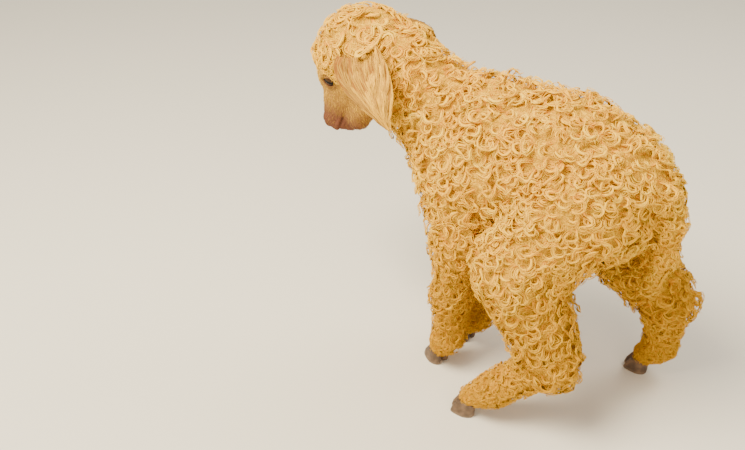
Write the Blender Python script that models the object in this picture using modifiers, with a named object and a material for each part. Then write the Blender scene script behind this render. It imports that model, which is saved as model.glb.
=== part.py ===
"""A standing Angora goat kid at life size, in metres.

The kid faces -Y, its left side is +X and up is +Z. The hoof claws stand on z = 0.
The body is a set of rounded bones with part of the depth of the coat added to each, blended
into one core. Rounded clumps of curls stand on the core, out to the tips of the coat. Core and
clumps are joined, evened out, and parted into nodes by thin planar cuts.
"""
import math

import bmesh
import bpy
import numpy as np
from mathutils import Vector

# Sizes that drive the rest, metres
GAP = 0.0003
SEAT_PUSH = 0.0005
CORE_SHARE = 0.45
TRUNK_COAT = 0.026
LEG_COAT = 0.022
FOREARM_COAT = 0.015
SHANK_COAT = 0.013
FOOT_COAT = 0.006
POLL_COAT = 0.016
TAIL_COAT = 0.009
TAIL_CORE = 0.0095
FACE_COAT = 0.0
BODY_BLEND = 0.014
HEAD_BLEND = 0.006
BODY_VOXEL = 0.0045
HEAD_VOXEL = 0.0026
CORE_TRIANGLES = 3000
BODY_TRIANGLES = 8200
HEAD_TRIANGLES = 3400
TAIL_TRIANGLES = 620

# Clumps of the coat: half width from the depth of the coat there, spacing from half width
CLUMP_BASE = 0.0078
CLUMP_PER_COAT = 0.55
CLUMP_SPACING = 1.42
CLUMP_SIDES = 6
CLUMP_SWING = 0.7
BARE_BELOW = 0.004
BARE_ROUND_EYE = 0.026
TRIALS = 9000
SEED = 7

# The head hangs from the skull and is turned to the kid's left, degrees
HEAD_PITCH = 73.0
HEAD_TURN = 16.0
SKULL = np.array([0.0, -0.256, 0.388])
HEAD_LENGTH = 0.104
EAR_HALF_WIDTH = 0.0353
EAR_THICK = 0.0028
EYE_RADIUS = 0.0105

# Features of the face, each given down the face, out of the forehead and to the side
EYE_PLACE = (0.046, 0.0190, 0.0290)
EYE_STANDS_OUT = 0.0022
LID_REACH = 0.0100
LID_OPENING = 0.72
LID_RADIUS = 0.0030
MOUTH_PLACE = (0.012, -0.0090, 0.024)
MOUTH_BACK = 0.026
MOUTH_RADIUS = 0.0013
NOSTRIL_PLACE = (0.012, 0.010, 0.0085)
NOSTRIL_SLANT = (-0.25, 0.55, 0.62)
NOSTRIL_SIZE = (0.0048, 0.0020, 0.0032)

# Ears: root, two points of the bent line, tip, and the way the ear is wide at root and at tip
EARS = {
    "left": ((0.0243, -0.2349, 0.4000), (0.0615, -0.2125, 0.3920), (0.0895, -0.1831, 0.3677),
             (0.0804, -0.1628, 0.3379), (-0.19, -0.90, -0.40), (0.60, -0.80, 0.10)),
    "right": ((-0.0318, -0.2510, 0.4060), (-0.0752, -0.2517, 0.4075), (-0.1145, -0.2416, 0.3912),
              (-0.1176, -0.2196, 0.3550), (0.64, -0.66, -0.40), (-0.08, -1.00, 0.10)),
}

# Plane between head and neck, and how far clumps overrun it so that both meshes carry them
HEAD_CUT = np.array([0.0, -0.222, 0.36])
HEAD_CUT_AHEAD = np.array([0.0, -0.98, -0.196])
CUT_OVERLAP = 0.035

# Claws of the hooves
CLAW_LENGTH = 0.018
CLAW_HALF_WIDTH = 0.0076
CLAW_HEIGHT = 0.021
WOOL_FLOOR = 0.007

# Joints of the limbs: x left, y back, z up
FORE_LEFT = ((0.042, -0.082, 0.270), (0.054, -0.066, 0.203), (0.052, -0.074, 0.118),
             (0.053, -0.072, 0.049), (0.050, -0.084, 0.026))
FORE_RIGHT = ((-0.042, -0.082, 0.270), (-0.053, -0.062, 0.196), (-0.036, -0.055, 0.106),
              (-0.011, -0.064, 0.049), (-0.013, -0.077, 0.026))
HIND_LEFT = ((0.044, 0.062, 0.292), (0.074, 0.020, 0.210), (0.078, 0.080, 0.106),
             (0.101, 0.020, 0.044), (0.110, -0.004, 0.026))
HIND_RIGHT = ((-0.047, 0.066, 0.287), (-0.074, 0.076, 0.207), (-0.083, 0.158, 0.133),
              (-0.101, 0.160, 0.048), (-0.097, 0.144, 0.026))


def head_axes():
    """Directions of the head: down the face, out of the forehead, and to its left."""
    pitch = math.radians(HEAD_PITCH)
    turn = math.radians(HEAD_TURN)
    ahead = np.array([math.sin(turn), -math.cos(turn), 0.0])
    down = np.array([0.0, 0.0, -1.0])
    along = ahead * math.cos(pitch) + down * math.sin(pitch)
    front = ahead * math.sin(pitch) - down * math.cos(pitch)
    side = np.array([math.cos(turn), math.sin(turn), 0.0])
    return along, front, side


ALONG, FRONT, SIDE = head_axes()


def on_head(along, front, side=0.0):
    """A point given from the centre of the skull in the directions of the head."""
    return SKULL + along * ALONG + front * FRONT + side * SIDE


def bone(start, end, start_radius, end_radius, coat, width=1.0):
    """A rounded cone from start to end; width scales it across the body."""
    return (np.array(start), np.array(end), start_radius, end_radius, coat, width)


def limb_bones(joints, radii, coats, width):
    """Bones of one leg between its joints, the first one flattened against the trunk."""
    rows = []
    for number in range(len(joints) - 1):
        first, last = radii[number]
        flat = width if number == 0 else 1.0
        rows.append(bone(joints[number], joints[number + 1], first, last, coats[number], flat))
    return rows


FORE_RADII = ((0.038, 0.026), (0.024, 0.016), (0.015, 0.012), (0.012, 0.011))
HIND_RADII = ((0.056, 0.037), (0.038, 0.021), (0.0175, 0.0130), (0.0130, 0.011))
FORE_COATS = (LEG_COAT, FOREARM_COAT, SHANK_COAT, FOOT_COAT)
HIND_COATS = (LEG_COAT, LEG_COAT, SHANK_COAT, FOOT_COAT)
BODY_BONES = [
    bone((0, 0.080, 0.303), (0, 0.025, 0.315), 0.056, 0.062, TRUNK_COAT, 1.05),
    bone((0, 0.025, 0.315), (0, -0.035, 0.302), 0.062, 0.072, TRUNK_COAT, 0.92),
    bone((0, -0.035, 0.302), (0, -0.078, 0.294), 0.072, 0.067, TRUNK_COAT, 0.84),
    bone((0, -0.074, 0.294), (0, -0.088, 0.270), 0.060, 0.045, TRUNK_COAT, 0.82),
    bone((0, -0.070, 0.343), (0, -0.020, 0.321), 0.037, 0.042, TRUNK_COAT),
    bone((0, -0.098, 0.314), (0, -0.197, 0.370), 0.053, 0.037, TRUNK_COAT, 0.86),
    bone((0, -0.197, 0.370), on_head(-0.004, -0.012), 0.039, 0.040, POLL_COAT, 0.92),
]
for joint_row, radius_row, coat_row in ((FORE_LEFT, FORE_RADII, FORE_COATS),
                                        (FORE_RIGHT, FORE_RADII, FORE_COATS),
                                        (HIND_LEFT, HIND_RADII, HIND_COATS),
                                        (HIND_RIGHT, HIND_RADII, HIND_COATS)):
    BODY_BONES += limb_bones(joint_row, radius_row, coat_row, 0.72)

HEAD_BONES = [
    bone(on_head(0.0, 0.0), on_head(0.012, 0.006), 0.040, 0.036, POLL_COAT),
    bone(on_head(-0.004, 0.027), on_head(0.025, 0.034), 0.018, 0.0150, POLL_COAT),
    bone(on_head(0.010, 0.002), on_head(HEAD_LENGTH - 0.006, 0.001), 0.0365, 0.0180, FACE_COAT),
    bone(on_head(0.036, 0.012), on_head(HEAD_LENGTH, 0.0050), 0.0305, 0.0140, FACE_COAT),
    bone(on_head(0.030, 0.025), on_head(0.050, 0.023), 0.0260, 0.0215, FACE_COAT),
    bone(on_head(0.034, -0.026), on_head(HEAD_LENGTH - 0.012, -0.019), 0.027, 0.0155, FACE_COAT),
]
for hand in (1, -1):
    HEAD_BONES += [
        bone(on_head(0.028, -0.008, 0.024 * hand), on_head(0.062, -0.008, 0.012 * hand),
             0.0180, 0.0140, FACE_COAT),
        bone(on_head(0.030, 0.026, 0.020 * hand), on_head(0.042, 0.026, 0.023 * hand),
             0.0125, 0.0105, FACE_COAT),
        bone(on_head(0.044, 0.010, 0.016 * hand), on_head(0.074, 0.006, 0.009 * hand),
             0.0165, 0.0120, FACE_COAT),
        bone(on_head(HEAD_LENGTH + 0.004, 0.004, 0.0060 * hand),
             on_head(HEAD_LENGTH + 0.006, -0.003, 0.0080 * hand), 0.0115, 0.0095, FACE_COAT),
        bone(on_head(0.050, -0.026, 0.012 * hand), on_head(0.089, -0.028, 0.010 * hand),
             0.0190, 0.0150, FACE_COAT),
        bone(on_head(HEAD_LENGTH - 0.006, -0.018), on_head(HEAD_LENGTH + 0.001, -0.017),
             0.0115, 0.0105, FACE_COAT),
    ]


def bone_distance(points, row):
    """Distance to a rounded cone: to its axis, less a radius that runs from end to end."""
    start, end, start_radius, end_radius, coat, width = row
    middle = np.array([0.5 * (start[0] + end[0]), 0.0, 0.0])
    scale = np.array([1.0 / width, 1.0, 1.0])
    first = (start - middle) * scale
    axis = (end - middle) * scale - first
    offset = (points - middle) * scale - first
    share = np.clip(offset @ axis / max(axis @ axis, 1e-12), 0.0, 1.0)
    radius = start_radius + (end_radius - start_radius) * share + coat * CORE_SHARE
    return np.linalg.norm(offset - share[:, None] * axis, axis=1) - radius


def blended(first, second, reach):
    """Smooth minimum of two distances, rounded over the given reach."""
    share = np.clip(0.5 + 0.5 * (second - first) / reach, 0.0, 1.0)
    return second + (first - second) * share - reach * share * (1.0 - share)


def field(points):
    """Signed distance to the body, near enough: bones blended one after the other."""
    body = bone_distance(points, BODY_BONES[0])
    for row in BODY_BONES[1:]:
        body = blended(body, bone_distance(points, row), BODY_BLEND)
    head = bone_distance(points, HEAD_BONES[0])
    for row in HEAD_BONES[1:]:
        head = blended(head, bone_distance(points, row), HEAD_BLEND)
    return blended(body, head, BODY_BLEND)


def slope(points, step=0.0004):
    """Gradient of the field by central differences."""
    parts = []
    for axis in np.eye(3) * step:
        parts.append((field(points + axis) - field(points - axis)) / (2.0 * step))
    return np.stack(parts, axis=1)


def settled(points, rounds=4):
    """Points moved along the slope of the field until they lie on the surface."""
    for _ in range(rounds):
        gradient = slope(points)
        steepness = np.maximum((gradient ** 2).sum(axis=1), 0.05)
        points = points - (field(points) / steepness)[:, None] * gradient
    return points


def coat_at(points):
    """Depth of the coat at each point: that of the bone whose surface is nearest."""
    rows = BODY_BONES + HEAD_BONES
    distances = np.stack([bone_distance(points, row) for row in rows])
    depths = np.array([row[4] for row in rows])
    return depths[distances.argmin(axis=0)]


# Scene, objects and modifiers
for old in list(bpy.data.objects):
    bpy.data.objects.remove(old, do_unlink=True)
kid = bpy.data.collections.new("angora_goat_kid")
bpy.context.scene.collection.children.link(kid)


def material(name, colour, roughness):
    """A plain Principled material."""
    made = bpy.data.materials.new(name)
    made.use_nodes = True
    shader = made.node_tree.nodes["Principled BSDF"]
    shader.inputs["Base Color"].default_value = (*colour, 1.0)
    shader.inputs["Roughness"].default_value = roughness
    return made


def linked(name, mesh):
    """A new object in the kid's collection."""
    obj = bpy.data.objects.new(name, mesh)
    kid.objects.link(obj)
    return obj


def removed(obj):
    """Take a helper object and its mesh away."""
    mesh = obj.data
    bpy.data.objects.remove(obj, do_unlink=True)
    bpy.data.meshes.remove(mesh)


def from_bmesh(name, bm):
    """An object from a bmesh."""
    mesh = bpy.data.meshes.new(name)
    bm.to_mesh(mesh)
    bm.free()
    return linked(name, mesh)


def baked(obj):
    """Replace an object's mesh by the result of its modifiers."""
    graph = bpy.context.evaluated_depsgraph_get()
    mesh = bpy.data.meshes.new_from_object(obj.evaluated_get(graph))
    old = obj.data
    obj.modifiers.clear()
    obj.data = mesh
    bpy.data.meshes.remove(old)
    mesh.name = obj.name
    return obj


def copied(obj, name):
    """A copy with its own mesh."""
    twin = obj.copy()
    twin.data = obj.data.copy()
    twin.name = name
    kid.objects.link(twin)
    return twin


def combined(obj, other, operation):
    """Boolean of two closed objects, applied, with its many-sided faces cut up."""
    step = obj.modifiers.new("boolean", "BOOLEAN")
    step.operation = operation
    step.solver = "MANIFOLD"
    step.object = other
    baked(obj)
    bm = bmesh.new()
    bm.from_mesh(obj.data)
    bmesh.ops.triangulate(bm, faces=bm.faces)
    bm.to_mesh(obj.data)
    bm.free()
    return obj


def largest_only(obj):
    """Keep the largest closed surface of an object."""
    bm = bmesh.new()
    bm.from_mesh(obj.data)
    bm.faces.ensure_lookup_table()
    seen = set()
    groups = []
    for face in bm.faces:
        if face.index in seen:
            continue
        seen.add(face.index)
        group = [face]
        for current in group:
            for edge in current.edges:
                for near in edge.link_faces:
                    if near.index not in seen:
                        seen.add(near.index)
                        group.append(near)
        groups.append(group)
    keep = set(max(groups, key=len))
    bmesh.ops.delete(bm, geom=[face for face in bm.faces if face not in keep], context="FACES")
    bm.to_mesh(obj.data)
    bm.free()
    return obj


def evened(obj, voxel):
    """One even closed surface round all that an object holds."""
    remesh = obj.modifiers.new("remesh", "REMESH")
    remesh.mode = "VOXEL"
    remesh.voxel_size = voxel
    return baked(obj)


def thinned(obj, triangles):
    """The same surface with about the given number of triangles; the object holds quads."""
    thin = obj.modifiers.new("thin", "DECIMATE")
    thin.ratio = triangles / (2.0 * len(obj.data.polygons))
    thin.use_collapse_triangulate = True
    return baked(obj)


def skin(name, rows, voxel, triangles):
    """Bones as hulls of two spheres, remeshed into one surface and laid on the field."""
    ball = bmesh.new()
    bmesh.ops.create_icosphere(ball, subdivisions=3, radius=1.0)
    unit = np.array([vert.co for vert in ball.verts])
    ball.free()
    bm = bmesh.new()
    for start, end, start_radius, end_radius, coat, width in rows:
        flat = unit * np.array([width, 1.0, 1.0])
        first = start + flat * (start_radius + coat * CORE_SHARE)
        last = end + flat * (end_radius + coat * CORE_SHARE)
        corners = [bm.verts.new(place) for place in np.concatenate([first, last])]
        hull = bmesh.ops.convex_hull(bm, input=corners, use_existing_faces=False)
        loose = {item for item in hull["geom_interior"] + hull["geom_unused"]
                 if isinstance(item, bmesh.types.BMVert)}
        bmesh.ops.delete(bm, geom=list(loose), context="VERTS")
    obj = evened(from_bmesh(name, bm), voxel)
    count = len(obj.data.vertices)
    places = np.empty(count * 3)
    obj.data.vertices.foreach_get("co", places)
    places = settled(places.reshape(count, 3))
    obj.data.vertices.foreach_set("co", places.ravel())
    obj.data.update()
    return thinned(obj, triangles)


def block(name, centre, size, up=(0.0, 0.0, 1.0), grow=0.0):
    """A box about a centre, its own z along up and its own y near the back of the kid."""
    z_axis = Vector(up).normalized()
    back = Vector((0.0, 1.0, 0.0))
    y_axis = (back - back.dot(z_axis) * z_axis).normalized()
    x_axis = y_axis.cross(z_axis)
    bm = bmesh.new()
    bmesh.ops.create_cube(bm, size=1.0)
    for vert in bm.verts:
        local = [vert.co[i] * (size[i] + 2.0 * grow) for i in range(3)]
        vert.co = Vector(centre) + local[0] * x_axis + local[1] * y_axis + local[2] * z_axis
    return from_bmesh(name, bm)


def loft(name, rings):
    """A closed form through rings of points, each end capped by one face."""
    bm = bmesh.new()
    rows = [[bm.verts.new(point) for point in ring] for ring in rings]
    sides = len(rows[0])
    for lower, upper in zip(rows, rows[1:]):
        for number in range(sides):
            after = (number + 1) % sides
            bm.faces.new((lower[number], lower[after], upper[after], upper[number]))
    bm.faces.new(rows[0])
    bm.faces.new(rows[-1])
    bmesh.ops.recalc_face_normals(bm, faces=bm.faces)
    bmesh.ops.triangulate(bm, faces=bm.faces)
    return from_bmesh(name, bm)


def widened(obj):
    """A twin pushed out along its normals, to cut the seat of a part."""
    twin = copied(obj, "seat")
    push = twin.modifiers.new("push", "DISPLACE")
    push.strength = SEAT_PUSH
    push.mid_level = 0.0
    return baked(twin)


def ellipsoid(name, centre, axes, sizes, detail=2):
    """An icosphere stretched along three directions."""
    bm = bmesh.new()
    ball = bmesh.ops.create_icosphere(bm, subdivisions=detail, radius=1.0)
    for vert in ball["verts"]:
        local = vert.co.copy()
        vert.co = Vector(centre)
        for number in range(3):
            vert.co += Vector(axes[number]) * (local[number] * sizes[number])
    bm.normal_update()
    bmesh.ops.recalc_face_normals(bm, faces=bm.faces)
    return from_bmesh(name, bm)


def tube(name, path, radius, ring=False):
    """A round tube along a path, from a bevelled curve; a ring has no ends."""
    curve = bpy.data.curves.new(name, "CURVE")
    curve.dimensions = "3D"
    spline = curve.splines.new("POLY")
    spline.points.add(len(path) - 1)
    for point, place in zip(spline.points, path):
        point.co = (*place, 1.0)
    curve.bevel_depth = radius
    curve.bevel_resolution = 1
    curve.use_fill_caps = not ring
    spline.use_cyclic_u = ring
    holder = bpy.data.objects.new(name, curve)
    kid.objects.link(holder)
    graph = bpy.context.evaluated_depsgraph_get()
    mesh = bpy.data.meshes.new_from_object(holder.evaluated_get(graph))
    bpy.data.objects.remove(holder, do_unlink=True)
    bpy.data.curves.remove(curve)
    bm = bmesh.new()
    bm.from_mesh(mesh)
    bmesh.ops.remove_doubles(bm, verts=bm.verts, dist=0.00001)
    bmesh.ops.recalc_face_normals(bm, faces=bm.faces)
    bpy.data.meshes.remove(mesh)
    return from_bmesh(name, bm)


def ear(name, root, out, down, tip, root_way, tip_way):
    """A cupped leaf along a bent line, widest before its middle; its width turns on the way."""
    root, out, down, tip = (np.array(place) for place in (root, out, down, tip))
    rings = []
    for share in np.linspace(0.0, 1.0, 10):
        rest = 1.0 - share
        centre = (rest ** 3 * root + 3 * share * rest ** 2 * out
                  + 3 * share ** 2 * rest * down + share ** 3 * tip)
        tangent = (rest ** 2 * (out - root) + 2 * share * rest * (down - out)
                   + share ** 2 * (tip - down))
        wide = rest * np.array(root_way) + share * np.array(tip_way)
        wide /= np.linalg.norm(wide)
        outward = np.cross(tangent, wide)
        outward /= np.linalg.norm(outward)
        swell = 0.34 + 0.66 * math.sin(math.pi * min(share / 0.9, 1.0) ** 0.8) ** 0.8
        closing = math.sqrt(max(1.0 - share ** 4, 0.0))
        half = EAR_HALF_WIDTH * swell * closing + 0.0025
        thick = EAR_THICK * (1.3 - 0.6 * share)
        ring = []
        for turn in np.linspace(0.0, 2.0 * math.pi, 12, endpoint=False):
            cup = 0.30 * half * math.cos(turn) ** 2
            ring.append(centre + wide * half * math.cos(turn)
                        + outward * (thick * math.sin(turn) - cup))
        rings.append(ring)
    return loft(name, rings)


def claw(name, place, heading, hand):
    """One half of a cloven hoof: flat sole, pointed toe, flatter on its inner side."""
    ahead = np.array([math.sin(heading), -math.cos(heading), 0.0])
    left = np.array([math.cos(heading), math.sin(heading), 0.0])
    middle = np.array([place[0], place[1], 0.0])
    middle = middle + ahead * 0.005 + left * hand * (CLAW_HALF_WIDTH * 0.86)
    rings = []
    for height, length, width, back in ((0.0, 1.0, 1.0, 0.0), (0.45, 0.94, 0.98, 0.0012),
                                        (1.0, 0.70, 0.86, 0.0035)):
        ring = []
        for turn in np.linspace(0.0, 2.0 * math.pi, 12, endpoint=False):
            reach = CLAW_LENGTH * length * math.cos(turn)
            if reach < 0:
                reach *= 0.72
            spread = CLAW_HALF_WIDTH * width * math.sin(turn)
            spread *= 1.0 - 0.38 * max(math.cos(turn), 0.0)
            if spread * hand < 0:
                spread *= 0.78
            ring.append(middle + ahead * (reach - back) + left * spread
                        + np.array([0.0, 0.0, CLAW_HEIGHT * height]))
        rings.append(ring)
    return loft(name, rings)


def clump(root, normal, lie, half_width, height):
    """A rounded clump: a fat bent drop that stands on its root and leans over its lie."""
    across = np.cross(normal, lie)
    profile = ((-0.10, 0.00, 1.00), (0.55, 0.14, 0.92), (0.98, 0.48, 0.52))
    bm = bmesh.new()
    rows = []
    for rise, lean, girth in profile:
        centre = root + normal * height * rise + lie * half_width * lean
        tilt = 0.5 * max(rise, 0.0)
        first = across
        second = lie * math.cos(tilt) - normal * math.sin(tilt)
        ring = []
        for turn in np.linspace(0.0, 2.0 * math.pi, CLUMP_SIDES, endpoint=False) + rise:
            spoke = first * math.cos(turn) + second * math.sin(turn)
            ring.append(bm.verts.new(centre + spoke * half_width * girth))
        rows.append(ring)
    foot = bm.verts.new(root - normal * height * 0.7)
    tip = bm.verts.new(root + normal * height * 0.90 + lie * half_width * 0.98)
    for number in range(CLUMP_SIDES):
        after = (number + 1) % CLUMP_SIDES
        bm.faces.new((foot, rows[0][after], rows[0][number]))
        bm.faces.new((tip, rows[-1][number], rows[-1][after]))
        for lower, upper in zip(rows, rows[1:]):
            bm.faces.new((lower[number], lower[after], upper[after], upper[number]))
    bmesh.ops.recalc_face_normals(bm, faces=bm.faces)
    bmesh.ops.triangulate(bm, faces=bm.faces)
    return from_bmesh("clump", bm)


def spread(obj, chance):
    """Places over a surface, even and apart: random trials kept where none is too near."""
    mesh = obj.data
    corners = np.array([vert.co for vert in mesh.vertices])
    triangles = np.array([poly.vertices[:3] for poly in mesh.polygons])
    edges = corners[triangles[:, 1:]] - corners[triangles[:, :1]]
    areas = np.linalg.norm(np.cross(edges[:, 0], edges[:, 1]), axis=1)
    picks = chance.choice(len(triangles), size=TRIALS, p=areas / areas.sum())
    shares = chance.random((TRIALS, 2))
    folded = shares.sum(axis=1) > 1.0
    shares[folded] = 1.0 - shares[folded]
    trials = corners[triangles[picks, 0]] + (shares[:, :, None] * edges[picks]).sum(axis=1)
    depths = coat_at(trials)
    widths = CLUMP_BASE + CLUMP_PER_COAT * depths
    from_eye = np.min([np.linalg.norm(trials - centre, axis=1) for centre, _ in EYES.values()], axis=0)
    kept = []
    for number in range(len(trials)):
        if depths[number] < BARE_BELOW or from_eye[number] < BARE_ROUND_EYE:
            continue
        if kept:
            near = np.linalg.norm(trials[kept] - trials[number], axis=1)
            if (near < CLUMP_SPACING * np.minimum(widths[kept], widths[number])).any():
                continue
        kept.append(number)
    return trials[kept], depths[kept], widths[kept]


def lie_of_coat(points, normals):
    """Which way the curls fall: down and back, and down the face on the head."""
    ways = np.tile(np.array([0.0, 0.35, -1.0]), (len(points), 1))
    ways[:, 0] = np.sign(points[:, 0]) * 0.35
    on_poll = np.linalg.norm(points - SKULL, axis=1) < 0.075
    ways[on_poll] = 0.9 * ALONG + 0.5 * FRONT
    ways -= (ways * normals).sum(axis=1)[:, None] * normals
    return ways / np.linalg.norm(ways, axis=1)[:, None]


def covered(obj, clumps, voxel, triangles):
    """Union of a core and its clumps, held in one collection meanwhile, evened and thinned."""
    store = bpy.data.collections.new("clumps")
    bpy.context.scene.collection.children.link(store)
    for lump in clumps:
        kid.objects.unlink(lump)
        store.objects.link(lump)
    step = obj.modifiers.new("clumps", "BOOLEAN")
    step.operation = "UNION"
    step.solver = "MANIFOLD"
    step.operand_type = "COLLECTION"
    step.collection = store
    baked(obj)
    for lump in list(store.objects):
        removed(lump)
    bpy.data.collections.remove(store)
    return thinned(evened(obj, voxel), triangles)


def eye_set(hand):
    """Centre of an eye and the way it looks: square to the face, only its front standing out."""
    along, front, side = EYE_PLACE
    surface = settled(on_head(along, front, side * hand)[None])
    facing = slope(surface)[0]
    facing /= np.linalg.norm(facing)
    return surface[0] - facing * (EYE_RADIUS - EYE_STANDS_OUT), facing


EYES = {"left": eye_set(1), "right": eye_set(-1)}

# The whole body and the finer head, with their clumps
body = skin("torso", BODY_BONES + HEAD_BONES, BODY_VOXEL, CORE_TRIANGLES)
head = skin("head", BODY_BONES[5:7] + HEAD_BONES, HEAD_VOXEL, CORE_TRIANGLES)
chance = np.random.default_rng(SEED)
roots, depths, widths = spread(body, chance)
normals = slope(roots)
normals /= np.linalg.norm(normals, axis=1)[:, None]
ways = lie_of_coat(roots, normals)
swing = chance.uniform(-CLUMP_SWING, CLUMP_SWING, len(roots))
widths = widths * chance.uniform(0.88, 1.14, len(roots))
heights = depths * (1.0 - CORE_SHARE) * chance.uniform(0.85, 1.08, len(roots))
body_clumps = []
head_clumps = []
for number, root in enumerate(roots):
    normal = normals[number]
    turned = ways[number] * math.cos(swing[number])
    turned = turned + np.cross(normal, ways[number]) * math.sin(swing[number])
    ahead_of_cut = np.dot(root - HEAD_CUT, HEAD_CUT_AHEAD)
    if ahead_of_cut < CUT_OVERLAP:
        body_clumps.append(clump(root, normal, turned, widths[number], heights[number]))
    if ahead_of_cut > -CUT_OVERLAP and root[2] > HEAD_CUT[2] - 3.0 * CUT_OVERLAP:
        head_clumps.append(clump(root, normal, turned, widths[number], heights[number]))
print("clumps", len(roots), "on the head", len(head_clumps))
covered(body, body_clumps, BODY_VOXEL, BODY_TRIANGLES)
covered(head, head_clumps, HEAD_VOXEL, HEAD_TRIANGLES)

# Lids round each eye, the line of the mouth and the nostrils
for side_name, (centre, facing) in EYES.items():
    rim_axis = np.cross(facing, ALONG)
    rim_axis /= np.linalg.norm(rim_axis)
    rim_up = np.cross(rim_axis, facing)
    path = []
    for turn in np.linspace(0.0, 2.0 * math.pi, 18, endpoint=False):
        # the opening is an almond, long from front to back of the eye
        spoke = LID_REACH * (math.cos(turn) * rim_axis + LID_OPENING * math.sin(turn) * rim_up)
        lift = math.sqrt(EYE_RADIUS ** 2 - np.sum(spoke ** 2))
        path.append(centre + spoke + facing * lift)
    lids = tube("lids_" + side_name, path, LID_RADIUS, ring=True)
    combined(head, lids, "UNION")
    removed(lids)

mouth = []
for turn in np.linspace(-1.0, 1.0, 15):
    along = HEAD_LENGTH + MOUTH_PLACE[0] - MOUTH_BACK * turn ** 2
    mouth.append(on_head(along, MOUTH_PLACE[1], MOUTH_PLACE[2] * turn))
groove = tube("mouth_line", settled(np.array(mouth)), MOUTH_RADIUS)
combined(head, groove, "DIFFERENCE")
removed(groove)
for hand in (1, -1):
    along, front, side = NOSTRIL_PLACE
    opening = settled(on_head(HEAD_LENGTH + along, front, side * hand)[None])[0]
    along, front, side = NOSTRIL_SLANT
    slant = along * ALONG + front * FRONT + side * hand * SIDE
    slant /= np.linalg.norm(slant)
    depth = slope(opening[None])[0]
    depth /= np.linalg.norm(depth)
    pit = ellipsoid("nostril", opening, (slant, np.cross(slant, depth), depth), NOSTRIL_SIZE)
    combined(head, pit, "DIFFERENCE")
    removed(pit)

# Ears, eyes, tail and claws, each with a slightly larger twin that cuts its seat
parts = {}
for side_name, places in EARS.items():
    parts["ear_" + side_name] = ear("ear_" + side_name, *places)
for side_name, (centre, facing) in EYES.items():
    name = "eye_" + side_name
    parts[name] = ellipsoid(name, centre, (SIDE, FRONT, ALONG), (EYE_RADIUS,) * 3, 3)
CLAWS = {}
for leg_name, joints in (("fore_left", FORE_LEFT), ("fore_right", FORE_RIGHT),
                         ("hind_left", HIND_LEFT), ("hind_right", HIND_RIGHT)):
    fetlock, toe = joints[3], joints[4]
    heading = math.atan2(toe[0] - fetlock[0], fetlock[1] - toe[1])
    CLAWS[leg_name] = []
    for hand, claw_name in ((1, "left_claw"), (-1, "right_claw")):
        name = leg_name + "_" + claw_name
        parts[name] = claw(name, toe, heading - 0.05 * hand, hand)
        CLAWS[leg_name].append(name)
TAIL = ((0.0, 0.122, 0.326), (0.0, 0.174, 0.318), (0.0, 0.150, 0.186))
rings = []
tail_clumps = []
first, second, last = (np.array(place) for place in TAIL)
for row, share in enumerate(np.linspace(0.0, 1.0, 8)):
    centre = (1 - share) ** 2 * first + 2 * share * (1 - share) * second + share ** 2 * last
    tangent = (1 - share) * (second - first) + share * (last - second)
    tangent /= np.linalg.norm(tangent)
    outward = np.cross(tangent, (1.0, 0.0, 0.0))
    taper = math.sqrt(max(1.0 - (share * 0.97) ** 6, 0.0)) * (1.0 - 0.25 * share)
    spokes = [math.cos(turn) * np.array([1.0, 0.0, 0.0]) + math.sin(turn) * outward
              for turn in np.linspace(0.0, 2.0 * math.pi, 10, endpoint=False)]
    rings.append([centre + TAIL_CORE * taper * spoke for spoke in spokes])
    if row in (2, 3, 4, 5, 6):
        for spoke in spokes[row % 2::3]:
            root = centre + TAIL_CORE * taper * spoke
            tail_clumps.append(clump(root, spoke, tangent, TAIL_COAT, TAIL_COAT * taper))
parts["tail"] = loft("tail", rings)
covered(parts["tail"], tail_clumps, HEAD_VOXEL, TAIL_TRIANGLES)
seats = {name: widened(obj) for name, obj in parts.items()}

# Regions that part the body, in the order in which they are cut off it
REGIONS = (
    ("head", (0.0, -0.322, 0.36), (0.5, 0.20, 0.5), (0.0, -0.20, 1.0)),
    ("neck", (0.0, -0.300, 0.40), (0.5, 0.30, 0.6), (0.0, 0.30, 1.0)),
    ("foreleg_left_lower", (0.1185, -0.087, 0.062), (0.2, 0.106, 0.112), (-0.232, 0.0, 1.0)),
    ("foreleg_right_lower", (-0.0835, -0.07, 0.062), (0.2, 0.14, 0.112), (-0.232, 0.0, 1.0)),
    ("foreleg_left_upper", (0.1102, -0.116, 0.142), (0.2, 0.172, 0.1), (0.0, 0.0, 1.0)),
    ("foreleg_right_upper", (-0.1102, -0.108, 0.142), (0.2, 0.18, 0.1), (0.0, 0.0, 1.0)),
    ("hindleg_left_lower", (0.1000, 0.03, 0.056), (0.16, 0.24, 0.100), (0.0, 0.10, 1.0)),
    ("hindleg_right_lower", (-0.1000, 0.14, 0.069), (0.16, 0.20, 0.126), (0.0, 0.10, 1.0)),
    ("hindleg_left_upper", (0.118, 0.07, 0.125), (0.2, 0.26, 0.210), (0.0, -0.12, 1.0)),
    ("hindleg_right_upper", (-0.118, 0.10, 0.128), (0.2, 0.22, 0.210), (0.0, -0.12, 1.0)),
)
rest = body
for name, centre, size, up in REGIONS:
    cutter = block("cutter", centre, size, up)
    wider = block("cutter_wider", centre, size, up, grow=GAP)
    source = head if name == "head" else copied(rest, name)
    parts[name] = combined(source, cutter, "INTERSECT")
    rest = combined(rest, wider, "DIFFERENCE")
    removed(cutter)
    removed(wider)
parts["torso"] = rest

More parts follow.
